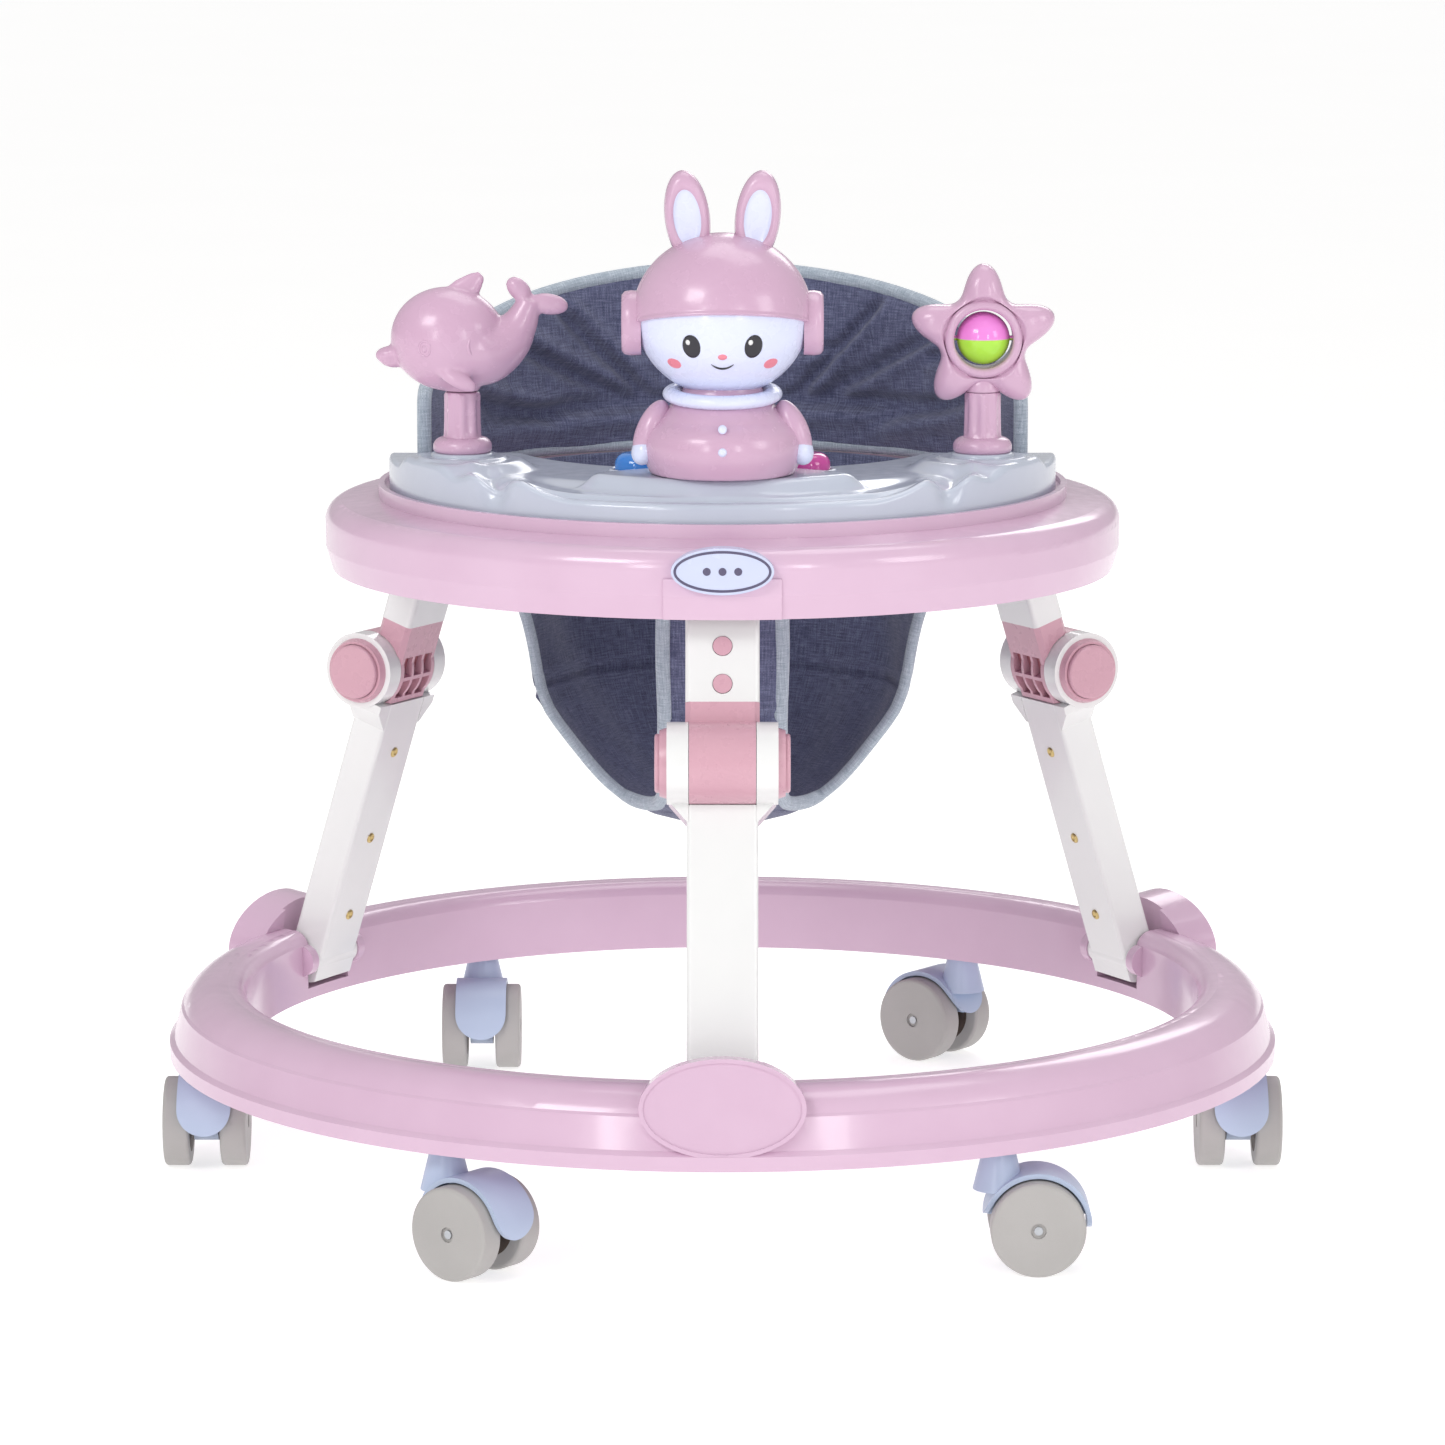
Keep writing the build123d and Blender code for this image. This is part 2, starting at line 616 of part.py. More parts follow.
# the screws hold the plate up against the underside of the shelf
tray_screws = []
for angle in tray_screw_angles:
    screw = rod_z(screw_shank_r, frame_low_z, frame_top_z)
    screw = screw + rod_z(screw_head_r, frame_low_z - screw_head_height, frame_low_z)
    slot_low_z = frame_low_z - screw_head_height - 1
    slot = block(-screw_head_r, screw_head_r, -0.4, 0.4, slot_low_z, frame_low_z - 1)
    tray_screws.append(around(angle) * Pos(0, -tray_screw_r, 0) * (screw - slot))
save("tray_screws", *tray_screws)

pivot_pin = rod_x(pivot_pin_r, -cheek_outer, cheek_outer)
for side in both_sides(rod_x(pivot_pin_r + 2.5, cheek_outer, cheek_outer + 2)):
    pivot_pin = pivot_pin + side
pivot_pin = Pos(0, -tray_pivot_r, tray_pivot_z) * pivot_pin
save("tray_pins", *[around(angle) * pivot_pin for angle in leg_angles.values()])

# ---- toy tray: a crescent shell on the shelf, with a platform, two lobes and post sockets
def crescent(outer_r, inner_r, back_y, z0, z1):
    disc = rod_z(outer_r, z0, z1) & block(-300, 300, -300, back_y, z0, z1)
    return disc - Pos(0, toy_inner_y, 0) * rod_z(inner_r, z0 - 1, z1 + 1)


platform_r = 60.0
toy_low_z = tray_shelf_z
toy_tray = crescent(toy_outer_r, toy_inner_r, 0, toy_low_z, toy_top_z)
hollow_top_z = toy_top_z - toy_wall
hollow = crescent(toy_outer_r - toy_wall, toy_inner_r + toy_wall, -toy_wall, toy_low_z - 1, hollow_top_z)
envelope = crescent(toy_outer_r - 1, toy_inner_r + 1, -1, toy_top_z - 4, lobe_top_z + 1)
platform = Pos(0, rabbit_y + 4, 0) * rod_z(platform_r, toy_top_z - 4, toy_platform_z)
toy_tray = toy_tray + (platform & envelope)
for sign in (-1, 1):
    lobe = Pos(sign * post_x, post_y, 0) * rod_z(lobe_r, toy_top_z - 4, toy_platform_z)
    toy_tray = toy_tray + (lobe & envelope)
    collar_seat = rod_z(post_collar_r + 0.5, toy_top_z - 4, lobe_top_z)
    toy_tray = toy_tray + Pos(sign * post_x, post_y, 0) * collar_seat
toy_tray = toy_tray - hollow
post_shank_r = 8.0
post_shank_low_z = toy_top_z - 12
music_stem_r = 5.0
for sign in (-1, 1):
    socket = Pos(sign * post_x, post_y, 0) * rod_z(post_shank_r + 3, toy_low_z, toy_top_z)
    toy_tray = toy_tray + socket
    post_hole = rod_z(post_shank_r + shaft_fit, post_shank_low_z - 1, lobe_top_z + 1)
    toy_tray = toy_tray - Pos(sign * post_x, post_y, 0) * post_hole
    music_hole = rod_z(music_stem_r + shaft_fit, toy_low_z, toy_platform_z + 1)
    toy_tray = toy_tray - Pos(sign * music_x, music_y, 0) * music_hole
    music_seat = Pos(sign * music_x, music_y, 0) * rod_z(music_r + 1.5, toy_top_z, toy_platform_z + 1)
    toy_tray = toy_tray - music_seat
save("toy_tray", toy_tray)

posts = []
for sign in (-1, 1):
    post = rod_z(post_shank_r, post_shank_low_z, lobe_top_z)
    collar = rod_z(post_collar_r, lobe_top_z, lobe_top_z + 8)
    collar = collar + Pos(0, 0, lobe_top_z + 9.5) * Cone(post_collar_r, post_r + 2, 3)
    tube_low = lobe_top_z + 11
    tube = Pos(0, 0, (tube_low + post_top_z) / 2) * Cone(post_r + 1, post_r, post_top_z - tube_low)
    pin = rod_z(post_pin_r, post_top_z, post_top_z + 10)
    posts.append(Pos(sign * post_x, post_y, 0) * (post + collar + tube + pin))
save("toy_posts", *posts)

# ---- music buttons: a cap, a stem through the tray and a retaining flange under it
cap_low_z = toy_top_z + music_travel + seat_gap
cap_top_z = cap_low_z + 9.5
cap_round = 7.0
for name, sign in (("left", -1), ("right", 1)):
    cap = rod_z(music_r, cap_low_z, cap_top_z)
    cap = fillet(cap.edges().filter_by(GeomType.CIRCLE).sort_by(Axis.Z)[-1:], cap_round)
    flange_top_z = toy_top_z - toy_wall - seat_gap
    stem_piece = rod_z(music_stem_r, flange_top_z - 3, cap_low_z) + rod_z(8, flange_top_z - 3, flange_top_z)
    save(f"music_button_{name}", Pos(sign * music_x, music_y, 0) * (cap + stem_piece))

# ---- dolphin: a swept body with a snout, a back fin and a split tail, turning on the left post
toy_low_edge = post_top_z + seat_gap


def toy_bore():
    return rod_z(post_pin_r + shaft_fit, post_top_z - 1, post_top_z + 11)


# each station is its place along X, its height over the post and its radius
dolphin_stations = (
    (-50, 22, 4.5),
    (-40, 26, 11.5),
    (-24, 32, 21.0),
    (-2, 37, 25.0),
    (18, 36, 19.0),
    (33, 41, 11.0),
    (43, 52, 6.0),
)
sections = []
for k, (x, z, radius) in enumerate(dolphin_stations):
    x0, z0, behind = dolphin_stations[max(k - 1, 0)]
    x1, z1, ahead = dolphin_stations[min(k + 1, len(dolphin_stations) - 1)]
    station = Plane(origin=(x, 0, z), x_dir=(0, 1, 0), z_dir=(x1 - x0, 0, z1 - z0))
    sections.append(station * Circle(radius))
dolphin = loft(sections)
back_fin = Plane.XZ * polygon((-18, 54), (2, 72), (9, 68), (8, 52))
dolphin = dolphin + extrude(back_fin, 2.6, both=True)
tail = Plane.XZ * polygon((42, 52), (30, 59), (26, 67), (36, 65), (46, 62), (62, 57), (54, 51), (48, 49))
dolphin = dolphin + extrude(tail, 5, both=True)
dolphin = Pos(0, 0, post_top_z) * dolphin
dolphin = dolphin + rod_z(post_r, toy_low_edge, post_top_z + 19)
dolphin = dolphin - toy_bore()
save("dolphin", Pos(-post_x, post_y, 0) * dolphin)

# ---- star: five rounded points round a hole that holds a turning ball on stub pins
star_outer_r = 52.0
star_inner_r = 27.0
star_half_depth = 13.0
star_points = []
for k in range(10):
    radius = star_outer_r if k % 2 == 0 else star_inner_r
    angle = radians(90 + 36 * k)
    star_points.append((radius * cos(angle), star_z + radius * sin(angle)))
star_face = polygon(*star_points)
star_face = fillet(star_face.vertices(), 6.5)
star = extrude(Plane.XZ * star_face, star_half_depth, both=True)
star = chamfer(star.faces().filter_by(Axis.Y).edges(), 3)
star = star - Pos(0, 0, star_z) * rod_y(star_hole_r, -20, 20)
stub_r = 1.5
stub_reach = star_hole_r + 2
star = star - Pos(0, 0, star_z) * rod_x(stub_r + shaft_fit, -stub_reach - 0.5, stub_reach + 0.5)
star_boss = rod_z(post_r, toy_low_edge, star_z - star_hole_r - 6)
star = star + star_boss - toy_bore()
save("star_frame", Pos(post_x, post_y, 0) * star)
ball = Pos(0, 0, star_z) * (Sphere(ball_r) + rod_x(stub_r, -stub_reach, stub_reach))
save("star_ball", Pos(post_x, post_y, 0) * ball)

# ---- rabbit: a seated body and a round head with two ear cups and two long ears
neck_z = toy_platform_z + 45
rabbit_wall = 3.0
throat_r = 14.0


def body_outline(inset):
    """Half of the body's section; inset draws the hollow inside its wall."""
    low = toy_platform_z + inset
    high = neck_z - inset
    edge = (
        Line((0, low), (40 - inset, low))
        + Spline(
            (40 - inset, low),
            (49.5 - inset, low + 10),
            (51.5 - inset, neck_z - 22),
            (46 - inset, neck_z - 11),
            (34 - inset, high - 2),
        )
        + Line((34 - inset, high - 2), (34 - inset, high))
        + Line((34 - inset, high), (0, high))
        + Line((0, high), (0, low))
    )
    return make_face(edge)


def head_outline(inset):
    """Half of the head's section; inset draws the hollow inside its wall."""
    low = neck_z + inset
    high = neck_z + 94 - inset
    edge = (
        Line((0, low), (26 - inset, low))
        + Spline(
            (26 - inset, low),
            (47 - inset, neck_z + 18),
            (52.5 - inset, neck_z + 39),
            (46 - inset, neck_z + 70),
            (26, high - 5.5),
            (0, high),
        )
        + Line((0, high), (0, low))
    )
    return make_face(edge)


rabbit_body = lathe(body_outline(0)) - lathe(body_outline(rabbit_wall))
rabbit_body = rabbit_body - rod_z(30, toy_platform_z - 1, toy_platform_z + rabbit_wall + 1)
rabbit_body = rabbit_body - rod_z(throat_r, neck_z - rabbit_wall - 1, neck_z + 1)
save("rabbit_body", Pos(0, rabbit_y, 0) * rabbit_body)
rabbit_head = lathe(head_outline(0)) - lathe(head_outline(rabbit_wall))
rabbit_head = rabbit_head - rod_z(throat_r, neck_z - 1, neck_z + rabbit_wall + 1)
for side in both_sides(Pos(0, 0, neck_z + 43) * rod_x(19, 40, 59)):
    rabbit_head = rabbit_head + (side - lathe(head_outline(0)))
ear = extrude(Plane.XZ * Ellipse(13.5, 28), 7, both=True)
ear = Pos(20.5, 0, neck_z + 105) * Rotation(0, 7, 0) * chamfer(ear.faces().filter_by(Axis.Y).edges(), 3.5)
for side in both_sides(ear):
    rabbit_head = rabbit_head + (side - lathe(head_outline(0)))
save("rabbit_head", Pos(0, rabbit_y, 0) * rabbit_head)

# ---- backrest pad: a curved cushion standing on the shelf behind the seat
pad_low_z = tray_shelf_z + seat_gap
pad_band = rod_z(pad_mid_r + pad_thick / 2, pad_low_z, pad_top_z)
pad_band = pad_band - rod_z(pad_mid_r - pad_thick / 2, pad_low_z - 1, pad_top_z + 1)
pad_end_x = pad_mid_r + 9
pad_end_z = pad_top_z - 70
pad_edge = (
    Polyline(
        (-pad_end_x, pad_end_z),
        (-pad_end_x, pad_low_z - 5),
        (pad_end_x, pad_low_z - 5),
        (pad_end_x, pad_end_z),
    )
    + Spline(
        (pad_end_x, pad_end_z),
        (pad_mid_r - 6, pad_top_z - 46),
        (pad_mid_r - 34, pad_top_z - 26),
        (pad_mid_r - 77, pad_top_z - 14),
        (0, pad_top_z),
        (77 - pad_mid_r, pad_top_z - 14),
        (34 - pad_mid_r, pad_top_z - 26),
        (6 - pad_mid_r, pad_top_z - 46),
        (-pad_end_x, pad_end_z),
    )
)
pad_mask = extrude(Plane.XZ * make_face(pad_edge), -300) & block(-300, 300, 3, 300, 0, pad_top_z + 60)
save("backrest_pad", pad_band & pad_mask)

# ---- seat sling: a cloth bucket hung under the tray, cut away in front for the legs
sling_top_z = frame_low_z - seat_gap
sling_low_z = frame_low_z - 205
sling_outer = (
    (seat_hole_r + 11, sling_top_z),
    (seat_hole_r + 11, sling_top_z - sling_thick),
    (seat_hole_r - 1, sling_top_z - sling_thick),
    (seat_hole_r - 13, sling_low_z + 167),
    (seat_hole_r - 26, sling_low_z + 133),
    (seat_hole_r - 34, sling_low_z + 87),
    (seat_hole_r - 49, sling_low_z + 57),
    (seat_hole_r - 68, sling_low_z + 33),
    (seat_hole_r - 100, sling_low_z + 8),
    (0, sling_low_z),
)
sling_inner = (
    (0, sling_low_z + sling_thick),
    (seat_hole_r - 101, sling_low_z + 8 + sling_thick),
    (seat_hole_r - 71, sling_low_z + 36),
    (seat_hole_r - 52.2, sling_low_z + 59),
    (seat_hole_r - 37.5, sling_low_z + 88),
    (seat_hole_r - 29.5, sling_low_z + 134),
    (seat_hole_r - 16.5, sling_low_z + 168),
    (seat_hole_r - 4, sling_top_z),
)
sling = Pos(0, seat_centre_y, 0) * lathe(polygon(*sling_outer, *sling_inner))
hem_z = sling_top_z - 18.7
strap_half_width = 35.0
crotch_half_width = 52.0
leg_hole = polygon(
    (strap_half_width, -200),
    (strap_half_width, -60),
    (crotch_half_width, 8),
    (200, 8),
    (200, -200),
)
leg_hole = Pos(0, 0, sling_low_z - 18) * extrude(leg_hole, hem_z - sling_low_z + 18)
for side in both_sides(leg_hole):
    sling = sling - side
save("seat_sling", sling)
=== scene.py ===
import math

import bmesh
import bpy
import numpy as np
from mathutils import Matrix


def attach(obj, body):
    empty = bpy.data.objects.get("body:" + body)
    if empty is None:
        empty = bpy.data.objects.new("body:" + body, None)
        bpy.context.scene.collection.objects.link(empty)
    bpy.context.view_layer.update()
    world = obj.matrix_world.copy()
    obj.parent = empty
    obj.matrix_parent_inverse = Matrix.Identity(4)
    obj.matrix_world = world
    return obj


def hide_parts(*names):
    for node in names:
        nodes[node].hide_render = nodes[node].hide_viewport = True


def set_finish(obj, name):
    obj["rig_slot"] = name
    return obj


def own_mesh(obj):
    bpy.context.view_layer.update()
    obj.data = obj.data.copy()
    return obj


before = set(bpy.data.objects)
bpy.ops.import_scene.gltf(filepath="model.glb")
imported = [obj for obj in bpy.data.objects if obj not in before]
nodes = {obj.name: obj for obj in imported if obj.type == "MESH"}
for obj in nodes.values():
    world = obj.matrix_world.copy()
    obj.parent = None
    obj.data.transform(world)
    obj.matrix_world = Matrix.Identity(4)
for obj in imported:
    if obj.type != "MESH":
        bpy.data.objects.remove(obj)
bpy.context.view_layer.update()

# Sizes in this file are in millimetres. The factors 0.001 and 1000 turn them to metres and back.
legAngles = {"front": 0.0, "right": 120.0, "left": -120.0}
hoodNames = [name for name in nodes if name.startswith("caster_") and name.endswith("_hood")]
casterNames = [name.removeprefix("caster_").removesuffix("_hood") for name in hoodNames]
print("frame loaded,", len(nodes), "nodes")


# small tools for meshes
def gridFaces(rows, columns, closeRows=False, closeColumns=False):
    # the quads of a grid whose points are numbered row by row, wrapped round where it closes
    row, column = np.meshgrid(
        np.arange(rows if closeRows else rows - 1),
        np.arange(columns if closeColumns else columns - 1),
        indexing="ij",
    )
    nextRow, nextColumn = (row + 1) % rows, (column + 1) % columns
    corners = [row * columns + column, row * columns + nextColumn]
    corners += [nextRow * columns + nextColumn, nextRow * columns + column]
    return np.stack(corners, -1).reshape(-1, 4)


def grid(points, closeRows=False, closeColumns=False, finish=0, uv=None):
    # one surface: its points in rows and columns, its quads, a material number for each row, and its UVs
    rows, columns = points.shape[:2]
    faces = gridFaces(rows, columns, closeRows, closeColumns)
    perRow = columns if closeColumns else columns - 1
    rowCount = rows if closeRows else rows - 1
    finishes = np.repeat(np.broadcast_to(finish, rowCount), perRow)
    if uv is None:
        uv = points[..., :2]
    return points.reshape(-1, 3), faces, finishes, uv.reshape(-1, 2)


def gather(*surfaces):
    # several surfaces as one, with their point numbers moved on
    starts = np.cumsum([0] + [len(s[0]) for s in surfaces[:-1]])
    return (
        np.concatenate([s[0] for s in surfaces]),
        np.concatenate([s[1] + start for s, start in zip(surfaces, starts)]),
        np.concatenate([s[2] for s in surfaces]),
        np.concatenate([s[3] for s in surfaces]),
    )


def setThreads(mesh, uv):
    # a UV map in metres, so that a weave keeps its real size
    corner = np.empty(len(mesh.loops), np.int32)
    mesh.loops.foreach_get("vertex_index", corner)
    layer = mesh.uv_layers.new(name="threads")
    layer.data.foreach_set("uv", (uv[corner] * 0.001).astype(np.float32).ravel())


def newPiece(name, surface, finishes, slotName, body=None, replaced=(), sharp=40, closed=True):
    points, faces, finish, uv = surface
    mesh = bpy.data.meshes.new(name)
    mesh.from_pydata((points * 0.001).tolist(), [], faces.tolist())
    for material in finishes:
        mesh.materials.append(material)
    mesh.polygons.foreach_set("material_index", finish.astype(np.int32))
    setThreads(mesh, uv)
    work = bmesh.new()
    work.from_mesh(mesh)
    bmesh.ops.remove_doubles(work, verts=work.verts, dist=2e-6)
    loose = [v for v in work.verts if not v.link_faces]
    bmesh.ops.delete(work, geom=loose, context="VERTS")
    if closed:
        bmesh.ops.recalc_face_normals(work, faces=work.faces)
    work.to_mesh(mesh)
    work.free()
    mesh.polygons.foreach_set("use_smooth", np.ones(len(mesh.polygons), bool))
    mesh.set_sharp_from_angle(angle=math.radians(sharp))
    piece = bpy.data.objects.new(name, mesh)
    bpy.context.scene.collection.objects.link(piece)
    if body:
        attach(piece, body)
    if replaced:
        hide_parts(*replaced)
    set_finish(piece, slotName)
    return piece


def getPoints(mesh):
    flat = np.empty(len(mesh.vertices) * 3, np.float32)
    mesh.vertices.foreach_get("co", flat)
    return flat.reshape(-1, 3).astype(float)


def setPoints(mesh, points):
    mesh.vertices.foreach_set("co", points.astype(np.float32).ravel())
    mesh.update()


def applyModifiers(piece):
    # the mesh as its modifiers leave it, with none of them left on
    graph = bpy.context.evaluated_depsgraph_get()
    mesh = bpy.data.meshes.new_from_object(piece.evaluated_get(graph))
    piece.modifiers.clear()
    piece.data = mesh
    mesh.polygons.foreach_set("use_smooth", np.ones(len(mesh.polygons), bool))


def smooth(low, high, value):
    # 0 below low, 1 above high, and an easy curve between
    t = np.clip((value - low) / (high - low), 0, 1)
    return t * t * (3 - 2 * t)


def bell(value, centre, width):
    # a bell curve, 1 at its centre
    return np.exp(-((value - centre) / width) ** 2)


def circle(count):
    # even angles once round
    return np.linspace(0, 2 * math.pi, count, endpoint=False)


def domed(count, height, foot):
    # the profile of a low dome: sine out and cosine up through a quarter turn, closed at its foot
    f = np.linspace(0, 1, count)
    return np.stack([np.sin(f * math.pi / 2), height * np.cos(f * math.pi / 2)], -1).tolist() + [(0, foot)]


def unit(vectors):
    return vectors / np.maximum(np.linalg.norm(vectors, axis=-1, keepdims=True), 1e-12)


def turned(points, degrees):
    # turned about the vertical axis
    c, s = math.cos(math.radians(degrees)), math.sin(math.radians(degrees))
    return points @ np.array([[c, s, 0], [-s, c, 0], [0, 0, 1]])


def dish(centre, right, up, front, width, height, profile, finish=0, columns=48, corner=1.0):
    # a profile carried round an oval: centre + share (width cos a right + height sin a up) + depth front,
    # where corner under 1 squares the oval off
    a = circle(columns)
    c, s = np.cos(a), np.sin(a)
    c, s = np.sign(c) * np.abs(c) ** corner, np.sign(s) * np.abs(s) ** corner
    share, depth = np.array(profile, float).T
    centre, right, up, front = (np.array(v, float) for v in (centre, right, up, front))
    ring = width * c[:, None] * right + height * s[:, None] * up
    points = centre + share[:, None, None] * ring + depth[:, None, None] * front
    return grid(points, closeColumns=True, finish=finish)


def ovoid(centre, long, wide, deep, rows=24, columns=32):
    # an ellipsoid: centre + cos p long + sin p (cos a wide + sin a deep)
    p = np.linspace(0, math.pi, rows)[:, None, None]
    a = circle(columns)[None, :, None]
    long, wide, deep = (np.array(v, float) for v in (long, wide, deep))
    points = np.array(centre, float) + np.cos(p) * long + np.sin(p) * (np.cos(a) * wide + np.sin(a) * deep)
    return grid(points, closeColumns=True)


def tube(path, normals, radius, closed=True, sides=16, flat=1.0):
    # an oval carried along a path: point + radius (cos a across + flat sin a normal);
    # open ends close to a point
    path, normals = np.array(path, float), np.array(normals, float)
    if closed:
        along = np.roll(path, -1, 0) - np.roll(path, 1, 0)
    else:
        along = np.gradient(path, axis=0)
    across = unit(np.cross(unit(along), normals))
    normals = unit(np.cross(across, unit(along)))
    radii = np.broadcast_to(radius, len(path)).astype(float)
    if not closed:
        path, across, normals = (np.concatenate([v[:1], v, v[-1:]]) for v in (path, across, normals))
        radii = np.concatenate([[0], radii, [0]])
    a = circle(sides)
    ring = np.cos(a)[None, :, None] * across[:, None] + flat * np.sin(a)[None, :, None] * normals[:, None]
    points = path[:, None] + radii[:, None, None] * ring
    steps = np.concatenate([[0], np.cumsum(np.linalg.norm(np.diff(path, axis=0), axis=1))])
    uv = np.stack(np.broadcast_arrays(steps[:, None], (a * radii.max())[None, :]), -1)
    return grid(points, closeRows=closed, closeColumns=True, uv=uv)


def lathe(centre, profile, columns=64, finish=0, wave=0.0, flutes=0):
    # a profile of radius and height turned about an upright axis, its radius waved by flutes
    a = circle(columns)
    radius, height = np.array(profile, float).T
    wave = np.broadcast_to(wave, len(radius))
    swell = 1 + wave[:, None] * np.cos(flutes * a)[None, :]
    x = radius[:, None] * swell * np.sin(a)
    y = -radius[:, None] * swell * np.cos(a)
    z = np.broadcast_to(height[:, None], x.shape)
    return grid(np.stack([x, y, z], -1) + np.array(centre, float), closeColumns=True, finish=finish)


# materials
def toLinear(hexText):
    # an sRGB hex colour as linear RGBA
    parts = [int(hexText[i:i + 2], 16) / 255 for i in (1, 3, 5)]
    return tuple(p / 12.92 if p <= 0.04045 else ((p + 0.055) / 1.055) ** 2.4 for p in parts) + (1.0,)


def perMetre(millimetres):
    # a pattern's scale from the real size of one of its features
    return 1000 / millimetres


def addNode(tree, kind, inputs=None, **settings):
    # one node with its settings; an input that is another node's socket becomes a link
    node = tree.nodes.new(kind)
    for name, value in settings.items():
        setattr(node, name, value)
    for socket, value in (inputs or {}).items():
        if isinstance(value, bpy.types.NodeSocket):
            tree.links.new(value, node.inputs[socket])
        else:
            node.inputs[socket].default_value = value
    return node


def newMaterial(name, shader):
    material = bpy.data.materials.new(name)
    material.use_nodes = True
    tree = material.node_tree
    tree.nodes.clear()
    surface = addNode(tree, "ShaderNodeBsdfPrincipled", shader)
    addNode(tree, "ShaderNodeOutputMaterial", {"Surface": surface.outputs[0]})
    return material, tree, surface


def objectPlace(tree):
    return addNode(tree, "ShaderNodeTexCoord").outputs["Object"]


def noise(tree, place, size, detail=2.0):
    # a cloudy pattern whose features are that many millimetres across
    inputs = {"Vector": place, "Scale": perMetre(size), "Detail": detail}
    return addNode(tree, "ShaderNodeTexNoise", inputs).outputs["Fac"]


def blend(tree, share, shade, light, **settings):
    # from the shade to the light as the share goes from 0 to 1
    inputs = {0: share, 6: shade, 7: light}
    return addNode(tree, "ShaderNodeMix", inputs, data_type="RGBA", **settings).outputs[2]


def spread(tree, value, low, high, start=0.0, end=1.0):
    # a value that runs from start to end, carried over to run from low to high
    inputs = {"Value": value, "From Min": start, "From Max": end, "To Min": low, "To Max": high}
    return addNode(tree, "ShaderNodeMapRange", inputs).outputs[0]


def relief(tree, height, strength, depth):
    inputs = {"Height": height, "Strength": strength, "Distance": depth}
    return addNode(tree, "ShaderNodeBump", inputs).outputs[0]


def wire(tree, surface, sources):
    for socket, source in sources.items():
        tree.links.new(source, surface.inputs[socket])


# feature sizes in millimetres; the depths of bumps in metres
plastic = {"flowSize": 45, "rubSize": 9, "rubFrom": 0.3, "rubTo": 0.7, "peelDepth": 0.0006, "coatGloss": 0.08}
steel = {"grainSize": 1.2}
halfBall = {"cloudSize": 12, "seamHalf": 0.0003, "gloss": 0.12}
weave = {"slubTimes": 11, "mixShare": 0.45, "darkAt": 0.3, "middleAt": 0.5, "lightAt": 0.74, "depth": 0.0008}


def mouldedPlastic(name, light, shade, gloss, grain=1.4, bump=0.05, coat=0.0):
    # plastic from a polished mould: a faint cloudiness where it flowed, a soft orange peel, and a gloss
    # that comes and goes a little
    shader = {"IOR": 1.5, "Coat Weight": coat, "Coat Roughness": plastic["coatGloss"]}
    material, tree, surface = newMaterial(name, shader)
    place = objectPlace(tree)
    flow = noise(tree, place, plastic["flowSize"], 3.0)
    tint = blend(tree, flow, toLinear(shade), toLinear(light))
    rub = noise(tree, place, plastic["rubSize"], 4.0)
    rough = spread(tree, rub, *gloss, plastic["rubFrom"], plastic["rubTo"])
    peel = noise(tree, place, grain)
    skin = relief(tree, peel, bump, plastic["peelDepth"])
    wire(tree, surface, {"Base Color": tint, "Roughness": rough, "Normal": skin})
    return material


def platedMetal(name, light, shade, gloss):
    # plated screws and pins: bright, with a fine grain in the plating
    material, tree, surface = newMaterial(name, {"Metallic": 1.0})
    grain = noise(tree, objectPlace(tree), steel["grainSize"], 5.0)
    tint = blend(tree, grain, toLinear(shade), toLinear(light))
    wire(tree, surface, {"Base Color": tint, "Roughness": spread(tree, grain, *gloss)})
    return material


def twoHalfPlastic(name, top, low, cloud, height):
    # two caps of glossy polystyrene snapped together at their middle, with a fine seam
    material, tree, surface = newMaterial(name, {"IOR": 1.55, "Roughness": halfBall["gloss"]})
    place = objectPlace(tree)
    z = addNode(tree, "ShaderNodeSeparateXYZ", {"Vector": place}).outputs["Z"]
    above = spread(tree, z, 0.0, 1.0, height - halfBall["seamHalf"], height + halfBall["seamHalf"])
    cloudy = noise(tree, place, halfBall["cloudSize"])
    halves = blend(tree, above, toLinear(low), toLinear(top))
    tint = blend(tree, cloudy, halves, toLinear(cloud), blend_type="SOFT_LIGHT")
    wire(tree, surface, {"Base Color": tint})
    return material


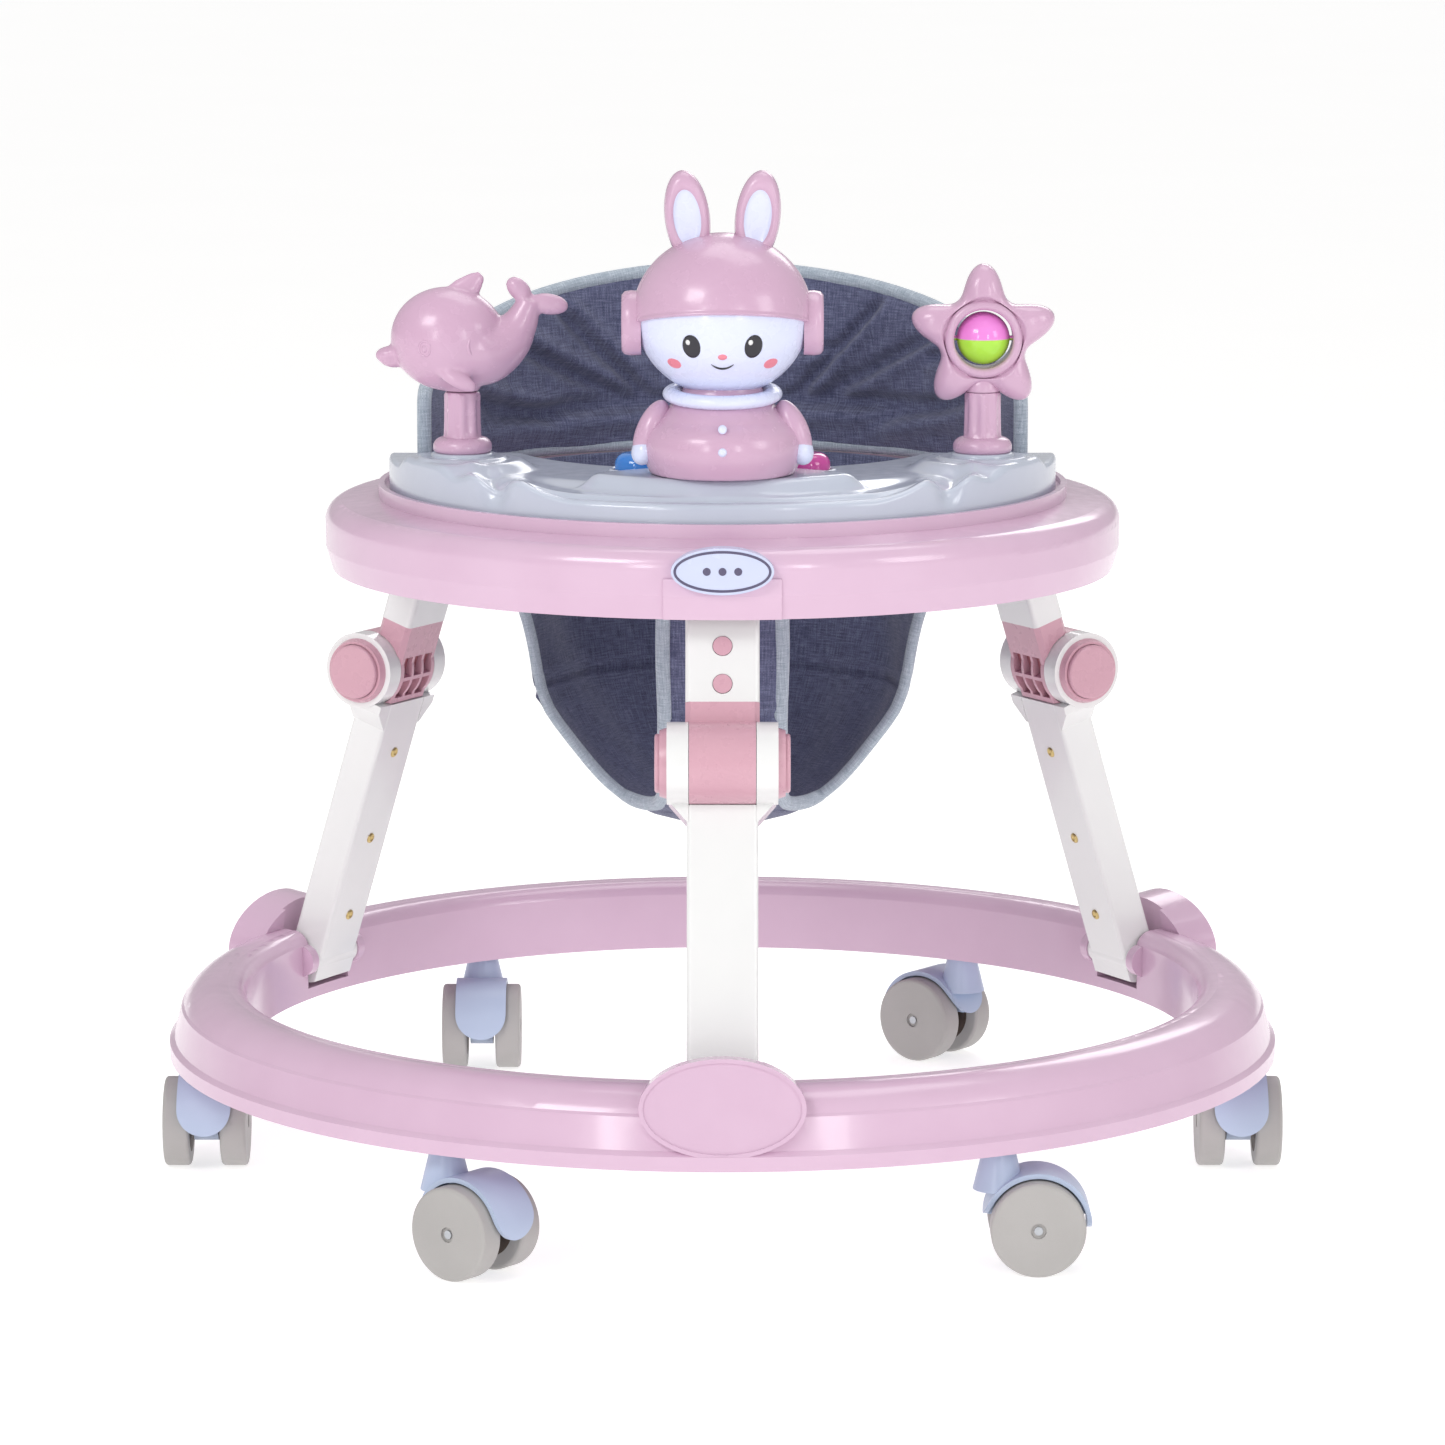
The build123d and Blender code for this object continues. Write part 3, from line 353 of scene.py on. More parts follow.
def heatherLinen(name, dark, middle, light, thread, bump):
    # woven linen-look cloth: slubby threads both ways in three greys, matt with a faint halo;
    # the threads are drawn about twice their real width so that they show
    shader = {"Roughness": 0.92, "Sheen Weight": 0.25, "Sheen Roughness": 0.6, "Specular IOR Level": 0.25}
    material, tree, surface = newMaterial(name, shader)
    cloth = addNode(tree, "ShaderNodeUVMap", uv_map="threads").outputs["UV"]
    slub = weave["slubTimes"] * thread
    ways = []
    for across, along in ((thread, slub), (slub, thread)):
        scale = (perMetre(across), perMetre(along), 1)
        place = addNode(tree, "ShaderNodeMapping", {"Vector": cloth, "Scale": scale}).outputs[0]
        inputs = {"Vector": place, "Scale": 1.0, "Detail": 2.0}
        ways.append(addNode(tree, "ShaderNodeTexNoise", inputs, noise_dimensions="2D").outputs["Fac"])
    scale = (perMetre(thread), perMetre(thread), 1)
    cell = addNode(tree, "ShaderNodeMapping", {"Vector": cloth, "Scale": scale}).outputs[0]
    over = addNode(tree, "ShaderNodeTexChecker", {"Vector": cell, "Scale": 1.0}).outputs["Fac"]
    threads = addNode(tree, "ShaderNodeMix", {0: over, 2: ways[0], 3: ways[1]}, data_type="FLOAT").outputs[0]
    both = addNode(tree, "ShaderNodeMath", {0: ways[0], 1: ways[1]}, operation="ADD").outputs[0]
    half = addNode(tree, "ShaderNodeMath", {0: both, 1: 0.5}, operation="MULTIPLY").outputs[0]
    inputs = {0: weave["mixShare"], 2: threads, 3: half}
    mix = addNode(tree, "ShaderNodeMix", inputs, data_type="FLOAT").outputs[0]
    ramp = addNode(tree, "ShaderNodeValToRGB", {"Fac": mix})
    stops = ramp.color_ramp.elements
    stops[0].position, stops[0].color = weave["darkAt"], toLinear(dark)
    stops[1].position, stops[1].color = weave["lightAt"], toLinear(light)
    stops.new(weave["middleAt"]).color = toLinear(middle)
    bumps = relief(tree, threads, bump, weave["depth"])
    wire(tree, surface, {"Base Color": ramp.outputs[0], "Normal": bumps})
    return material


finishValues = {
    "pink": ("#D8B9CF", "#CFADC5"),
    "rose": ("#D3A6B3", "#C999A9"),
    "white": ("#EAEAE9", "#E3E3E3"),
    "grey": ("#C3C9D6", "#B9C0CF"),
    "hood": ("#BAC7DE", "#AEBCD5"),
    "wheel": ("#B3B0AE", "#A5A2A0"),
    # painted shade: the dark brown hub discs stand for the shade between the two wheels
    "hubShade": ("#54443A", "#43352D"),
    "toy": ("#D0ADC5", "#C7A1BB"),
    "face": ("#DEE3F9", "#D4DAF4"),
    "blue": ("#4490E2", "#3580D2"),
    "magenta": ("#E05AAE", "#D14A9F"),
    "plate": ("#CDD3EC", "#C1C8E4"),
    "line": ("#5E5874", "#524C68"),
    # painted shade: the dark rose plates in the knuckle windows stand for the shade in their recesses
    "window": ("#A4626C", "#93525C"),
    "cheek": ("#E88A9A", "#DC7A8C"),
    "eye": ("#2C2A33", "#232129"),
    "steel": ("#C9CCD0", "#A9ADB3"),
    "brass": ("#D9C48C", "#C2AA70"),
    "ball": ("#E37CCB", "#98D938", "#F6E9F4"),
    "linen": ("#414562", "#595D7B", "#777B98"),
    "piping": ("#8F9BA9", "#A6B1BD", "#C4CDD6"),
}

# each moulded finish: its name, its colours, and what sets it apart from the others
mouldings = {
    # polished polypropylene shells: a wet-looking gloss with soft edges to its highlights
    "pinkPolypropyleneMoulded": ("pink", {"gloss": (0.17, 0.25), "coat": 0.25}),
    # acetal hinge parts: a little redder and slightly less glossy
    "roseAcetalMoulded": ("rose", {"gloss": (0.24, 0.34), "bump": 0.07}),
    # white tubes: bright, glossy, almost without tint
    "whiteAbsMoulded": ("white", {"gloss": (0.14, 0.22), "coat": 0.3}),
    # pale grey tray: high gloss that mirrors the softboxes
    "greyAbsPolished": ("grey", {"gloss": (0.16, 0.24), "coat": 0.3, "bump": 0.03}),
    "hoodNylonMoulded": ("hood", {"gloss": (0.28, 0.4), "bump": 0.08}),
    # rubber treads: matt, with a fine grain that catches little light; the dark hub discs are painted shade
    # between the wheels, given the same matt grain
    "wheelRubberMoulded": ("wheel", {"gloss": (0.45, 0.6), "grain": 0.9, "bump": 0.2}),
    "coreRubberMoulded": ("hubShade", {"gloss": (0.5, 0.65), "grain": 0.9, "bump": 0.2}),
    # soft toy plastic: pale pink with broad satin highlights
    "toyPinkVinyl": ("toy", {"gloss": (0.2, 0.3), "coat": 0.15, "bump": 0.04}),
    "paleVinyl": ("face", {"gloss": (0.22, 0.32), "coat": 0.15, "bump": 0.04}),
    "darkEnamelPrinted": ("eye", {"gloss": (0.15, 0.22), "bump": 0.02}),
    "cheekEnamelPrinted": ("cheek", {"gloss": (0.25, 0.35), "bump": 0.02}),
    "blueAbsPolished": ("blue", {"gloss": (0.08, 0.14), "coat": 0.5, "bump": 0.02}),
    "magentaAbsPolished": ("magenta", {"gloss": (0.08, 0.14), "coat": 0.5, "bump": 0.02}),
    "badgePlateMoulded": ("plate", {"gloss": (0.2, 0.28), "bump": 0.03}),
    "badgeLinePrinted": ("line", {"gloss": (0.3, 0.4), "bump": 0.03}),
    # dark rose plates: painted shade in the recesses of the knuckle windows
    "windowRecessMoulded": ("window", {"gloss": (0.35, 0.5), "bump": 0.08}),
}
moulded = {}
for name, (colour, values) in mouldings.items():
    moulded[colour] = mouldedPlastic(name, *finishValues[colour], **values)
platedSteel = platedMetal("zincPlatedSteel", *finishValues["steel"], gloss=(0.25, 0.4))
brassScrew = platedMetal("yellowPassivatedSteel", *finishValues["brass"], gloss=(0.3, 0.45))
ballHalves = twoHalfPlastic("twoColourPolystyrene", *finishValues["ball"], height=0.518)
linen = heatherLinen("heatherLinenWoven", *finishValues["linen"], thread=1.0, bump=0.5)
piping = heatherLinen("pipingTapeWoven", *finishValues["piping"], thread=0.9, bump=0.35)
print("materials made")

# the construction's own nodes take their finishes
nodeFinishes = dict.fromkeys(["base_shell", "base_cover", "tray_ring", "tray_underframe"], moulded["pink"])
nodeFinishes["badge"] = moulded["plate"]
nodeFinishes["star_ball"] = ballHalves
nodeFinishes["music_button_left"] = moulded["blue"]
nodeFinishes["music_button_right"] = moulded["magenta"]
endFinishes = {"_hood": moulded["hood"], "_wheels": moulded["wheel"]}
endFinishes |= dict.fromkeys(["_lower_leg", "_sleeve"], moulded["white"])
endFinishes |= dict.fromkeys(["_knuckle", "_bezels", "_button_1", "_button_2"], moulded["rose"])
for name, node in nodes.items():
    ending = next((finish for end, finish in endFinishes.items() if name.endswith(end)), platedSteel)
    finish = nodeFinishes.get(name, ending)
    node.data.materials.clear()
    node.data.materials.append(finish)
    node.data.polygons.foreach_set("material_index", np.zeros(len(node.data.polygons), np.int32))
print("construction finished")

# toy tray: a crescent between two circles, its top worked out as a height over each place
tray = {
    "outerR": 203.0,
    "innerR": 130.0,
    "innerY": 45.0,
    "lowZ": 420.2,
    "deckZ": 440.0,
    "ledgeZ": 434.0,
    "leafZ": 446.0,
    "leafHalf": 88.0,
    "edgeRound": 3.5,
    "postX": 155.0,
    "postY": -80.0,
    "lobeZ": 446.0,
    "bossZ": 449.8,
    "bossR": 18.4,
    "musicX": 50.0,
    "musicY": -100.0,
    "musicR": 14.0,
    "ridgeX": 147.0,
    "lowRidgeX": 119.0,
    "valleyX": 133.5,
    "ridgeRise": 3.2,
    "valleyDip": 5.0,
    "scoopShare": 0.022,
    "columns": 440,
    "rows": 96,
}


def trayHeight(x, y):
    # the deck, plus a ledge along the front, a leaf-shaped platform in the middle, a lobe at each post
    # and a waved rim beside it
    side = np.abs(x)
    inward = tray["outerR"] - np.hypot(x, y)
    lobeAway = np.hypot(side - tray["postX"], y - tray["postY"])
    front = smooth(44, 24, inward)
    rise = smooth(86, 121, side)
    lowered = (1 - rise) * front
    step = smooth(7, 9.5, inward)
    z = tray["deckZ"] - lowered * (tray["deckZ"] - tray["ledgeZ"]) * (1 - 0.45 * step)
    bow = np.clip(1 - (side / tray["leafHalf"]) ** 2, 0, 1)
    near = np.minimum(y - (-153 - 41 * bow), (-153 + 47 * bow) - y)
    leafTop = tray["deckZ"] - 2 + (tray["leafZ"] - tray["deckZ"] + 2) * smooth(0, 0.35, bow)
    z = np.maximum(z, z + (leafTop - z) * smooth(-2, 11, near) * (side < tray["leafHalf"]))
    lobe = smooth(47, 33, lobeAway)
    z = z + (tray["lobeZ"] - z) * lobe
    ridge = bell(side, tray["ridgeX"], 6.0) + 0.9 * bell(side, tray["lowRidgeX"], 8.0)
    valley = bell(side, tray["valleyX"], 6.5)
    rim = smooth(34, 3, inward) * smooth(-60, -110, y)
    z = z + rim * (tray["ridgeRise"] * ridge - tray["valleyDip"] * valley)
    terrace = smooth(27.5, 25.5, lobeAway)
    z = z + (tray["lobeZ"] + 1.6 - z) * terrace
    musicAway = np.hypot(side - tray["musicX"], y - tray["musicY"])
    well = smooth(tray["musicR"] + 2.4, tray["musicR"] + 1.2, musicAway)
    return z + (tray["deckZ"] - 2.5 - z) * well


def makeToyTray():
    columns, rows = tray["columns"], tray["rows"]
    share = np.linspace(0, 1, columns)
    tilt = math.asin(tray["innerY"] / tray["innerR"])
    outerA = -share * math.pi
    innerA = -tilt - share * (math.pi - 2 * tilt)
    outer = np.stack([tray["outerR"] * np.cos(outerA), tray["outerR"] * np.sin(outerA)], -1)
    inner = np.stack([np.cos(innerA), np.sin(innerA)], -1) * tray["innerR"] + [0, tray["innerY"]]
    across = (1 - np.cos(np.linspace(0, math.pi, rows))) / 2
    plan = outer[None] * (1 - across[:, None, None]) + inner[None] * across[:, None, None]
    x, y = plan[..., 0], plan[..., 1]
    top = trayHeight(x, y)
    edge = tray["edgeRound"]
    near = np.minimum(tray["outerR"] - np.hypot(x, y), np.hypot(x, y - tray["innerY"]) - tray["innerR"])
    near = np.clip(np.minimum(near, -y), 0, edge)
    top = top - (edge - np.sqrt(edge ** 2 - (edge - near) ** 2))
    deck = np.stack([x, y, top], -1)
    up = np.linspace(0, 1, 12)[:-1, None]
    scoop = bell(np.abs(outer[:, 0]), tray["valleyX"], 7.5) * (outer[:, 1] < -80)
    wallZ = tray["lowZ"] + (top[0] - tray["lowZ"]) * up
    wallShare = 1 - tray["scoopShare"] * scoop * up ** 2
    wall = np.stack([outer[:, 0] * wallShare, outer[:, 1] * wallShare, wallZ], -1)
    inset = 1 - tray["scoopShare"] * scoop[None] * smooth(0.12, 0, across[:, None])
    deck[..., 0] *= inset
    deck[..., 1] *= inset
    innerZ = top[-1] + (tray["lowZ"] - top[-1]) * np.linspace(0, 1, 8)[1:, None]
    innerWall = np.stack(np.broadcast_arrays(inner[:, 0], inner[:, 1], innerZ), -1)
    loop = np.concatenate([wall, deck, innerWall])
    middle = loop.mean(0, keepdims=True)
    ends = [np.broadcast_to(middle[:, [k]], (len(loop), 1, 3)) for k in (0, -1)]
    body = grid(np.concatenate([ends[0], loop, ends[1]], 1), closeRows=True)
    surfaces = [body]
    r, z, deckZ = tray["bossR"], tray["bossZ"], tray["deckZ"]
    boss = [(0, deckZ), (r, deckZ), (r + 0.3, z - 1.2), (r - 0.2, z - 0.4), (r - 1, z), (0, z)]
    seat = [(14.6, 438), (18.2, 438), (18.0, 441.6), (17.2, 442.5), (15.8, 442.6), (14.8, 441.9), (14.6, 438)]
    for side in (-1, 1):
        surfaces.append(lathe((side * tray["postX"], tray["postY"], 0), boss))
        surfaces.append(lathe((side * tray["musicX"], tray["musicY"], 0), seat))
    newPiece("toyTray", gather(*surfaces), [moulded["grey"]], "grey_tray", "tray", ["toy_tray"], sharp=50)


makeToyTray()
print("toy tray made")

# posts: a round foot, a waist and a fluted tube
post = {"footR": 17.5, "lowZ": 449.9, "topZ": 486.0, "flutes": 8, "fluteDepth": 0.055}


def toyPiece(name, parts, finishes, body="tray", replaced=(), sharp=60):
    return newPiece(name, gather(*parts), finishes, "toy_pink", body, replaced, sharp)


def makePosts():
    footR, lowZ, topZ = post["footR"], post["lowZ"], post["topZ"]
    turn = [math.pi * f / 2 for f in np.linspace(0, 1, 12)]
    profile = [(0, lowZ), (footR - 1.2, lowZ), (footR, 451.2)]
    profile += [(footR - 6.2 * (1 - math.cos(t)), 453.5 + 5.5 * math.sin(t)) for t in turn]
    profile += [(10.9, 460.4), (10.5, 463), (10.3, 470), (10.2, 478), (10.4, 484), (10.2, 485.6)]
    profile += [(9.4, topZ), (0, topZ)]
    height = np.array([p[1] for p in profile])
    wave = post["fluteDepth"] * smooth(458, 463, height) * smooth(486, 483, height)
    both = [
        lathe((side * tray["postX"], tray["postY"], 0), profile, columns=96, wave=wave, flutes=post["flutes"])
        for side in (-1, 1)
    ]
    toyPiece("toyPosts", both, [moulded["toy"]], replaced=["toy_posts"], sharp=50)


makePosts()
print("posts made")

# dolphin: overlapping rounded forms melted into one skin
dolphin = {
    "postX": -155.0,
    "y": -80.0,
    "bodyX": -163.0,
    "bodyZ": 517.5,
    "halfX": 34.4,
    "halfY": 25.5,
    "halfZ": 31.0,
    "eyeX": -176.0,
    "eyeZ": 514.0,
    "voxel": 0.0011,
    "softenTimes": 8,
}


def makeDolphin():
    y0 = dolphin["y"]

    def bar(stations, deep):
        # a limb: a circle carried through listed stations of x, z and radius
        x, z, r = np.array(stations, float).T
        n = np.linspace(0, 1, len(x))
        fine = np.linspace(0, 1, 28)
        path = np.stack([np.interp(fine, n, x), np.full(len(fine), y0), np.interp(fine, n, z)], -1)
        kernel = np.ones(5) / 5
        for k in (0, 2):
            path[2:-2, k] = np.convolve(path[:, k], kernel, "valid")
        radius = np.interp(fine, n, r)
        sideways = np.broadcast_to([0.0, 1.0, 0.0], path.shape)
        return tube(path, sideways, radius, closed=False, sides=28, flat=deep)

    tail = [(-152, 513, 25), (-139, 512, 22), (-128, 517, 16), (-120.5, 526, 11), (-116.5, 535, 8.3)]
    neck = [(0, 486.3), (10.4, 486.3), (10.6, 488), (9.5, 495), (0, 500)]
    middle = (dolphin["bodyX"], y0, dolphin["bodyZ"])
    parts = [
        ovoid(middle, (34.3, 0, -2), (1.5, 0, dolphin["halfZ"]), (0, dolphin["halfY"], 0), 40, 56),
        bar(tail + [(-114, 541, 7)], 0.95),
        ovoid((-198.2, y0, 508.3), (8.6, 0, 0.6), (0, 0, 5.0), (0, 6.6, 0)),
        ovoid((-196.8, y0, 503.7), (7.0, 0, -0.8), (0, 0, 3.4), (0, 5.4, 0)),
        bar([(-160, 538, 10), (-153, 546, 9), (-147, 552, 6), (-142.8, 555.6, 3.0)], 0.42),
        ovoid((-121, y0, 547), (-6.5, 0, 6.2), (4.2, 0, 4.4), (0, 5.0, 0)),
        ovoid((-103.5, y0, 538.2), (12.2, 0, -1.6), (0.8, 0, 6.4), (0, 5.2, 0)),
        lathe((dolphin["postX"], y0, 0), neck, 48),
    ]
    for side in (-1, 1):
        fin = (11.5, side * 0.8, -6.2)
        parts.append(ovoid((-157, y0 + side * 20.5, 495.5), fin, (2.6, 0, 4.6), (0, 4.4, 0.6)))
    piece = toyPiece("dolphin", parts, [moulded["toy"]], None, sharp=180)
    melt = piece.modifiers.new("skin", "REMESH")
    melt.mode = "VOXEL"
    melt.voxel_size = dolphin["voxel"]
    soften = piece.modifiers.new("soften", "SMOOTH")
    soften.factor = 0.6
    soften.iterations = dolphin["softenTimes"]
    applyModifiers(piece)
    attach(piece, "dolphin")
    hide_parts("dolphin")

    # eye rings, pupils and a crease behind the cheek stand on the skin
    def onSkin(x, z, side, lift):
        inside = 1 - ((x - dolphin["bodyX"]) / dolphin["halfX"]) ** 2
        inside = inside - ((z - dolphin["bodyZ"]) / dolphin["halfZ"]) ** 2
        y = y0 + side * (dolphin["halfY"] * np.sqrt(np.maximum(inside, 0)) + lift)
        return np.stack([x, y, z], -1)

    trims = []
    eyeX, eyeZ = dolphin["eyeX"], dolphin["eyeZ"]
    ringA, bend = circle(40), np.linspace(-1, 1, 24)
    thick = 1.2 * np.sqrt(np.maximum(1 - bend ** 2, 0.02))
    for side in (-1, 1):
        ring = onSkin(eyeX + 3.4 * np.cos(ringA), eyeZ + 4.4 * np.sin(ringA), side, -0.5)
        out = np.broadcast_to(unit(np.array([-0.4, side * 1.0, -0.1])), ring.shape)
        trims.append(tube(ring, out, 0.75, closed=True, sides=10))
        pupil = onSkin(eyeX, eyeZ, side, -0.6)
        trims.append(ovoid(pupil, (1.7, 0, 0), (0, 0, 2.5), (0, 1.2, 0), 12, 20))
        line = onSkin(-150 + 3.6 * bend ** 2 - 2.0 * bend, 513 + 7.5 * bend, side, -0.7)
        out = np.broadcast_to(unit(np.array([0.3, side * 1.0, -0.1])), line.shape)
        trims.append(tube(line, out, thick, closed=False, sides=10))
    toyPiece("dolphinFace", trims, [moulded["toy"]], "dolphin", sharp=180)


makeDolphin()
print("dolphin made")

# star: a closed section carried round the hole, its reach waved into five arms
star = {
    "x": 155.0,
    "y": -80.0,
    "z": 518.0,
    "beadMidR": 20.2,
    "beadR": 2.7,
    "valleyR": 26.8,
    "tipR": 44.4,
    "depth": 12.6,
    "columns": 300,
}


def makeStar():
    a = circle(star["columns"])
    arm = np.cos(5 * a)
    reach = star["valleyR"] + (star["tipR"] - star["valleyR"]) * (0.5 + 0.5 * arm) ** 1.25
    bead = np.linspace(math.pi, 0, 9)
    beadR = star["beadMidR"] + star["beadR"] * np.cos(bead)
    beadY = 9.6 + star["beadR"] * np.sin(bead)
    out = np.linspace(0, 1, 26)[1:]
    ridge = 0.8 + 0.2 * smooth(-0.6, 1, arm)[None, :]
    puff = np.sqrt(np.maximum(1 - out ** 2.6, 0))[:, None]
    lift = smooth(0, 0.16, out)[:, None]
    rimR = star["beadMidR"] + star["beadR"]
    frontR = rimR + (reach - rimR)[None, :] * out[:, None]
    frontY = star["depth"] * ridge * puff * (0.74 + 0.26 * lift)
    ringR = np.broadcast_to(beadR[:, None], (len(bead), len(a)))
    ringY = np.broadcast_to(beadY[:, None], (len(bead), len(a)))
    radius = np.concatenate([ringR, frontR, frontR[-2::-1], ringR[::-1]])
    depth = np.concatenate([ringY, frontY, -frontY[-2::-1], -ringY[::-1]])
    x, z = radius * np.sin(a), radius * np.cos(a)
    points = np.stack([x, -depth, z], -1) + [star["x"], star["y"], star["z"]]
    neck = [(0, 486.3), (10.2, 486.3), (10.4, 488), (9.0, 493), (5, 498), (0, 499)]
    parts = [grid(points, closeRows=True, closeColumns=True), lathe((star["x"], star["y"], 0), neck, 48)]
    toyPiece("starFrame", parts, [moulded["toy"]], "star", ["star_frame"])


makeStar()
print("star made")

# rabbit: a plain round bunny of a general kind, with a cap, ear cups and two ears
rabbit = {
    "y": -150.0,
    "headZ": 538.0,
    "headX": 50.6,
    "headY": 49.0,
    "headHalf": 46.6,
    "capLift": 2.0,
    "capAngle": 94.0,
    "capTilt": 13.0,
    "eyeX": 18.0,
    "eyeZ": 524.5,
    "cupX": 47.4,
    "cupZ": 534.0,
    "earX": 20.5,
    "earZ": 595.5,
    "earHalf": (13.2, 27.6),
    "earLean": 7.0,
}


def onHead(x, z, lift=0.0):
    # the place on the front of the head, and its outward direction
    h = rabbit
    inside = 1 - (x / h["headX"]) ** 2 - ((z - h["headZ"]) / h["headHalf"]) ** 2
    y = h["y"] - h["headY"] * np.sqrt(np.maximum(inside, 0))
    slopes = [x / h["headX"] ** 2, (y - h["y"]) / h["headY"] ** 2, (z - h["headZ"]) / h["headHalf"] ** 2]
    out = unit(np.stack(slopes, -1))
    return np.stack([x, y, z], -1) + out * lift, out


def faceSpot(x, z, width, height, deep):
    # a low oval button that follows the head
    place, out = onHead(np.float64(x), np.float64(z), -0.4)
    right = unit(np.cross([0, 0, 1.0], out)) * -1
    up = unit(np.cross(out, right)) * -1
    return dish(place, right, up, out, width, height, domed(9, deep, -0.2), columns=32)


def makeRabbitHead():
    h = rabbit
    tilt = math.radians(h["capTilt"])
    edge = math.radians(h["capAngle"])
    lip = [(0.0, 1.0), (0.012, 1.35), (0.03, 1.35), (0.042, 0.9), (0.046, 0.0)]
    capP, faceP = np.linspace(0, edge, 64), np.linspace(edge + 0.055, math.pi, 52)
    p = np.concatenate([capP, edge + np.array([s[0] for s in lip]), faceP])
    lift = np.concatenate([np.ones_like(capP), [s[1] for s in lip], np.zeros_like(faceP)]) * h["capLift"]
    a = circle(128)
    c, s = np.cos(p)[:, None], np.sin(p)[:, None]
    across, ahead = s * np.sin(a)[None], -s * np.cos(a)[None]
    y = ahead * math.cos(tilt) + c * math.sin(tilt)
    z = c * math.cos(tilt) - ahead * math.sin(tilt)
    direction = np.stack([across, y, z], -1)
    size = np.array([h["headX"], h["headY"], h["headHalf"]])
    points = direction * size + unit(direction / size) * lift[:, None, None] + [0, h["y"], h["headZ"]]
    finish = (np.arange(len(p) - 1) >= len(capP) + len(lip) - 1).astype(int)
    parts = [grid(points, closeColumns=True, finish=finish)]
    cup = [(0, 10.5), (0.45, 10.5), (0.55, 9.2), (0.62, 9.2), (0.72, 11), (0.86, 11.4), (0.97, 9.6)]
    cup += [(1, 6), (0.98, 0), (0, 0)]
    ear = [(0, -4.2), (0.4, -4.3), (0.56, -4.8), (0.6, -5.6), (0.68, -6.8), (0.8, -6.9), (0.92, -5)]
    ear += [(1, 0), (0.94, 4.2), (0.8, 6.2), (0.5, 6.8), (0, 7)]
    cupFinish, earFinish = [1] * 2 + [0] * 7, [1] * 3 + [0] * 8
    lean = math.radians(h["earLean"])
    for side in (-1, 1):
        place = (side * h["cupX"], h["y"], h["cupZ"])
        parts.append(dish(place, (0, 1, 0), (0, 0, 1), (side, 0, 0), 18, 19, cup, cupFinish, 64))
        up = np.array([side * math.sin(lean), 0, math.cos(lean)])
        right = np.array([math.cos(lean), 0, -side * math.sin(lean)])
        place = (side * h["earX"], h["y"], h["earZ"])
        parts.append(dish(place, right, up, (0, 1, 0), *h["earHalf"], ear, earFinish, 72))
    toyPiece("rabbitHead", parts, [moulded["toy"], moulded["face"]], replaced=["rabbit_head"], sharp=55)

    eyes = [faceSpot(side * h["eyeX"], h["eyeZ"], 5.6, 7.2, 1.0) for side in (-1, 1)]
    # the glints are painted highlights: small white domes high on each eye
    glints = [faceSpot(side * h["eyeX"] - 1.8, h["eyeZ"] + 2.7, 1.6, 1.9, 1.9) for side in (-1, 1)]
    bend = np.linspace(-1, 1, 25)
    smile, out = onHead(6.5 * bend, 511.5 + 2.6 * bend ** 2, 0.1)
    eyes.append(tube(smile, out, 0.65 * np.sqrt(np.maximum(1 - bend ** 2, 0.05)), closed=False, sides=10))
    cheeks = [faceSpot(side * 28, 513.5, 5.2, 4.2, 0.5) for side in (-1, 1)]
    cheeks.append(faceSpot(0, 518.5, 2.8, 2.0, 1.3))
    toyPiece("rabbitEyes", eyes, [moulded["eye"]])
    toyPiece("rabbitGlints", glints, [moulded["white"]])
    toyPiece("rabbitCheeks", cheeks, [moulded["cheek"]])


def makeRabbitBody():
    h = rabbit
    up = np.linspace(0, 1, 48)
    z = 446.8 + 50.7 * up
    r = 42.5 + 5.2 * np.sin(math.pi * np.clip(up / 0.62, 0, 1)) - 19.5 * smooth(0.42, 1.0, up) ** 1.25
    foot = [(0, 446.2), (r[0] - 1.5, 446.2)]
    profile = foot + np.stack([r, z], -1).tolist() + [(0, 497.5)]
    parts = [lathe((0, h["y"], 0), profile, 96)]
    for side in (-1, 1):
        arm = (side * 7.5, -3, -17)
        parts.append(ovoid((side * 41.5, h["y"] - 7, 472), arm, (8.0, 0, side * 3.5), (0, 10, -2)))
    toyPiece("rabbitBody", parts, [moulded["toy"]], replaced=["rabbit_body"])
    a = circle(120)
    ring = np.stack([29.5 * np.sin(a), h["y"] - 29.5 * np.cos(a), 492.6 - 2.2 * np.cos(a)], -1)
    collar = tube(ring, np.broadcast_to([0.0, 0.0, 1.0], ring.shape), 5.6, sides=20, flat=0.75)
    trims = [collar]
    for side in (-1, 1):
        hand = (side * 2, -1, -8.6)
        trims.append(ovoid((side * 45.8, h["y"] - 9.5, 460.5), hand, (7.2, 0, side), (0, 9.2, 0)))
    toyPiece("rabbitCollar", trims, [moulded["face"]])
    buttons = [
        dish((0, h["y"] - reach, z), (1, 0, 0), (0, lean, 1), (0, -1, lean), 2.6, 2.6, domed(7, 1.4, -1))
        for z, reach, lean in ((476.5, 43.7, 0.35), (463.5, 47.4, 0.0))
    ]
    toyPiece("rabbitButtons", buttons, [moulded["face"]])


makeRabbitHead()
makeRabbitBody()
print("rabbit made")

# backrest pad: a pillow bent round the back of the seat, swelled as cloth, then creased
pad = {
    "midR": 182.0,
    "reach": 281.0,
    "lowZ": 421.0,
    "shelfZ": 420.2,
    "topZ": 537.0,
    "half": 6.4,
    "voxel": 0.0045,
    "pressure": 4.0,
    "frames": 20,
    "most": 8.0,
    "seam": 7.0,
    "pipingR": 4.4,
    "creaseDepth": 2.4,
    "deepest": 8.0,
}


def padTop(s):
    # the crown's height: highest behind the middle, falling faster towards the ends
    q = np.abs(pad["midR"] * np.sin(s / pad["midR"])) / (pad["midR"] + 9)
    return pad["topZ"] - 36 * q ** 2 - 34 * q ** 8


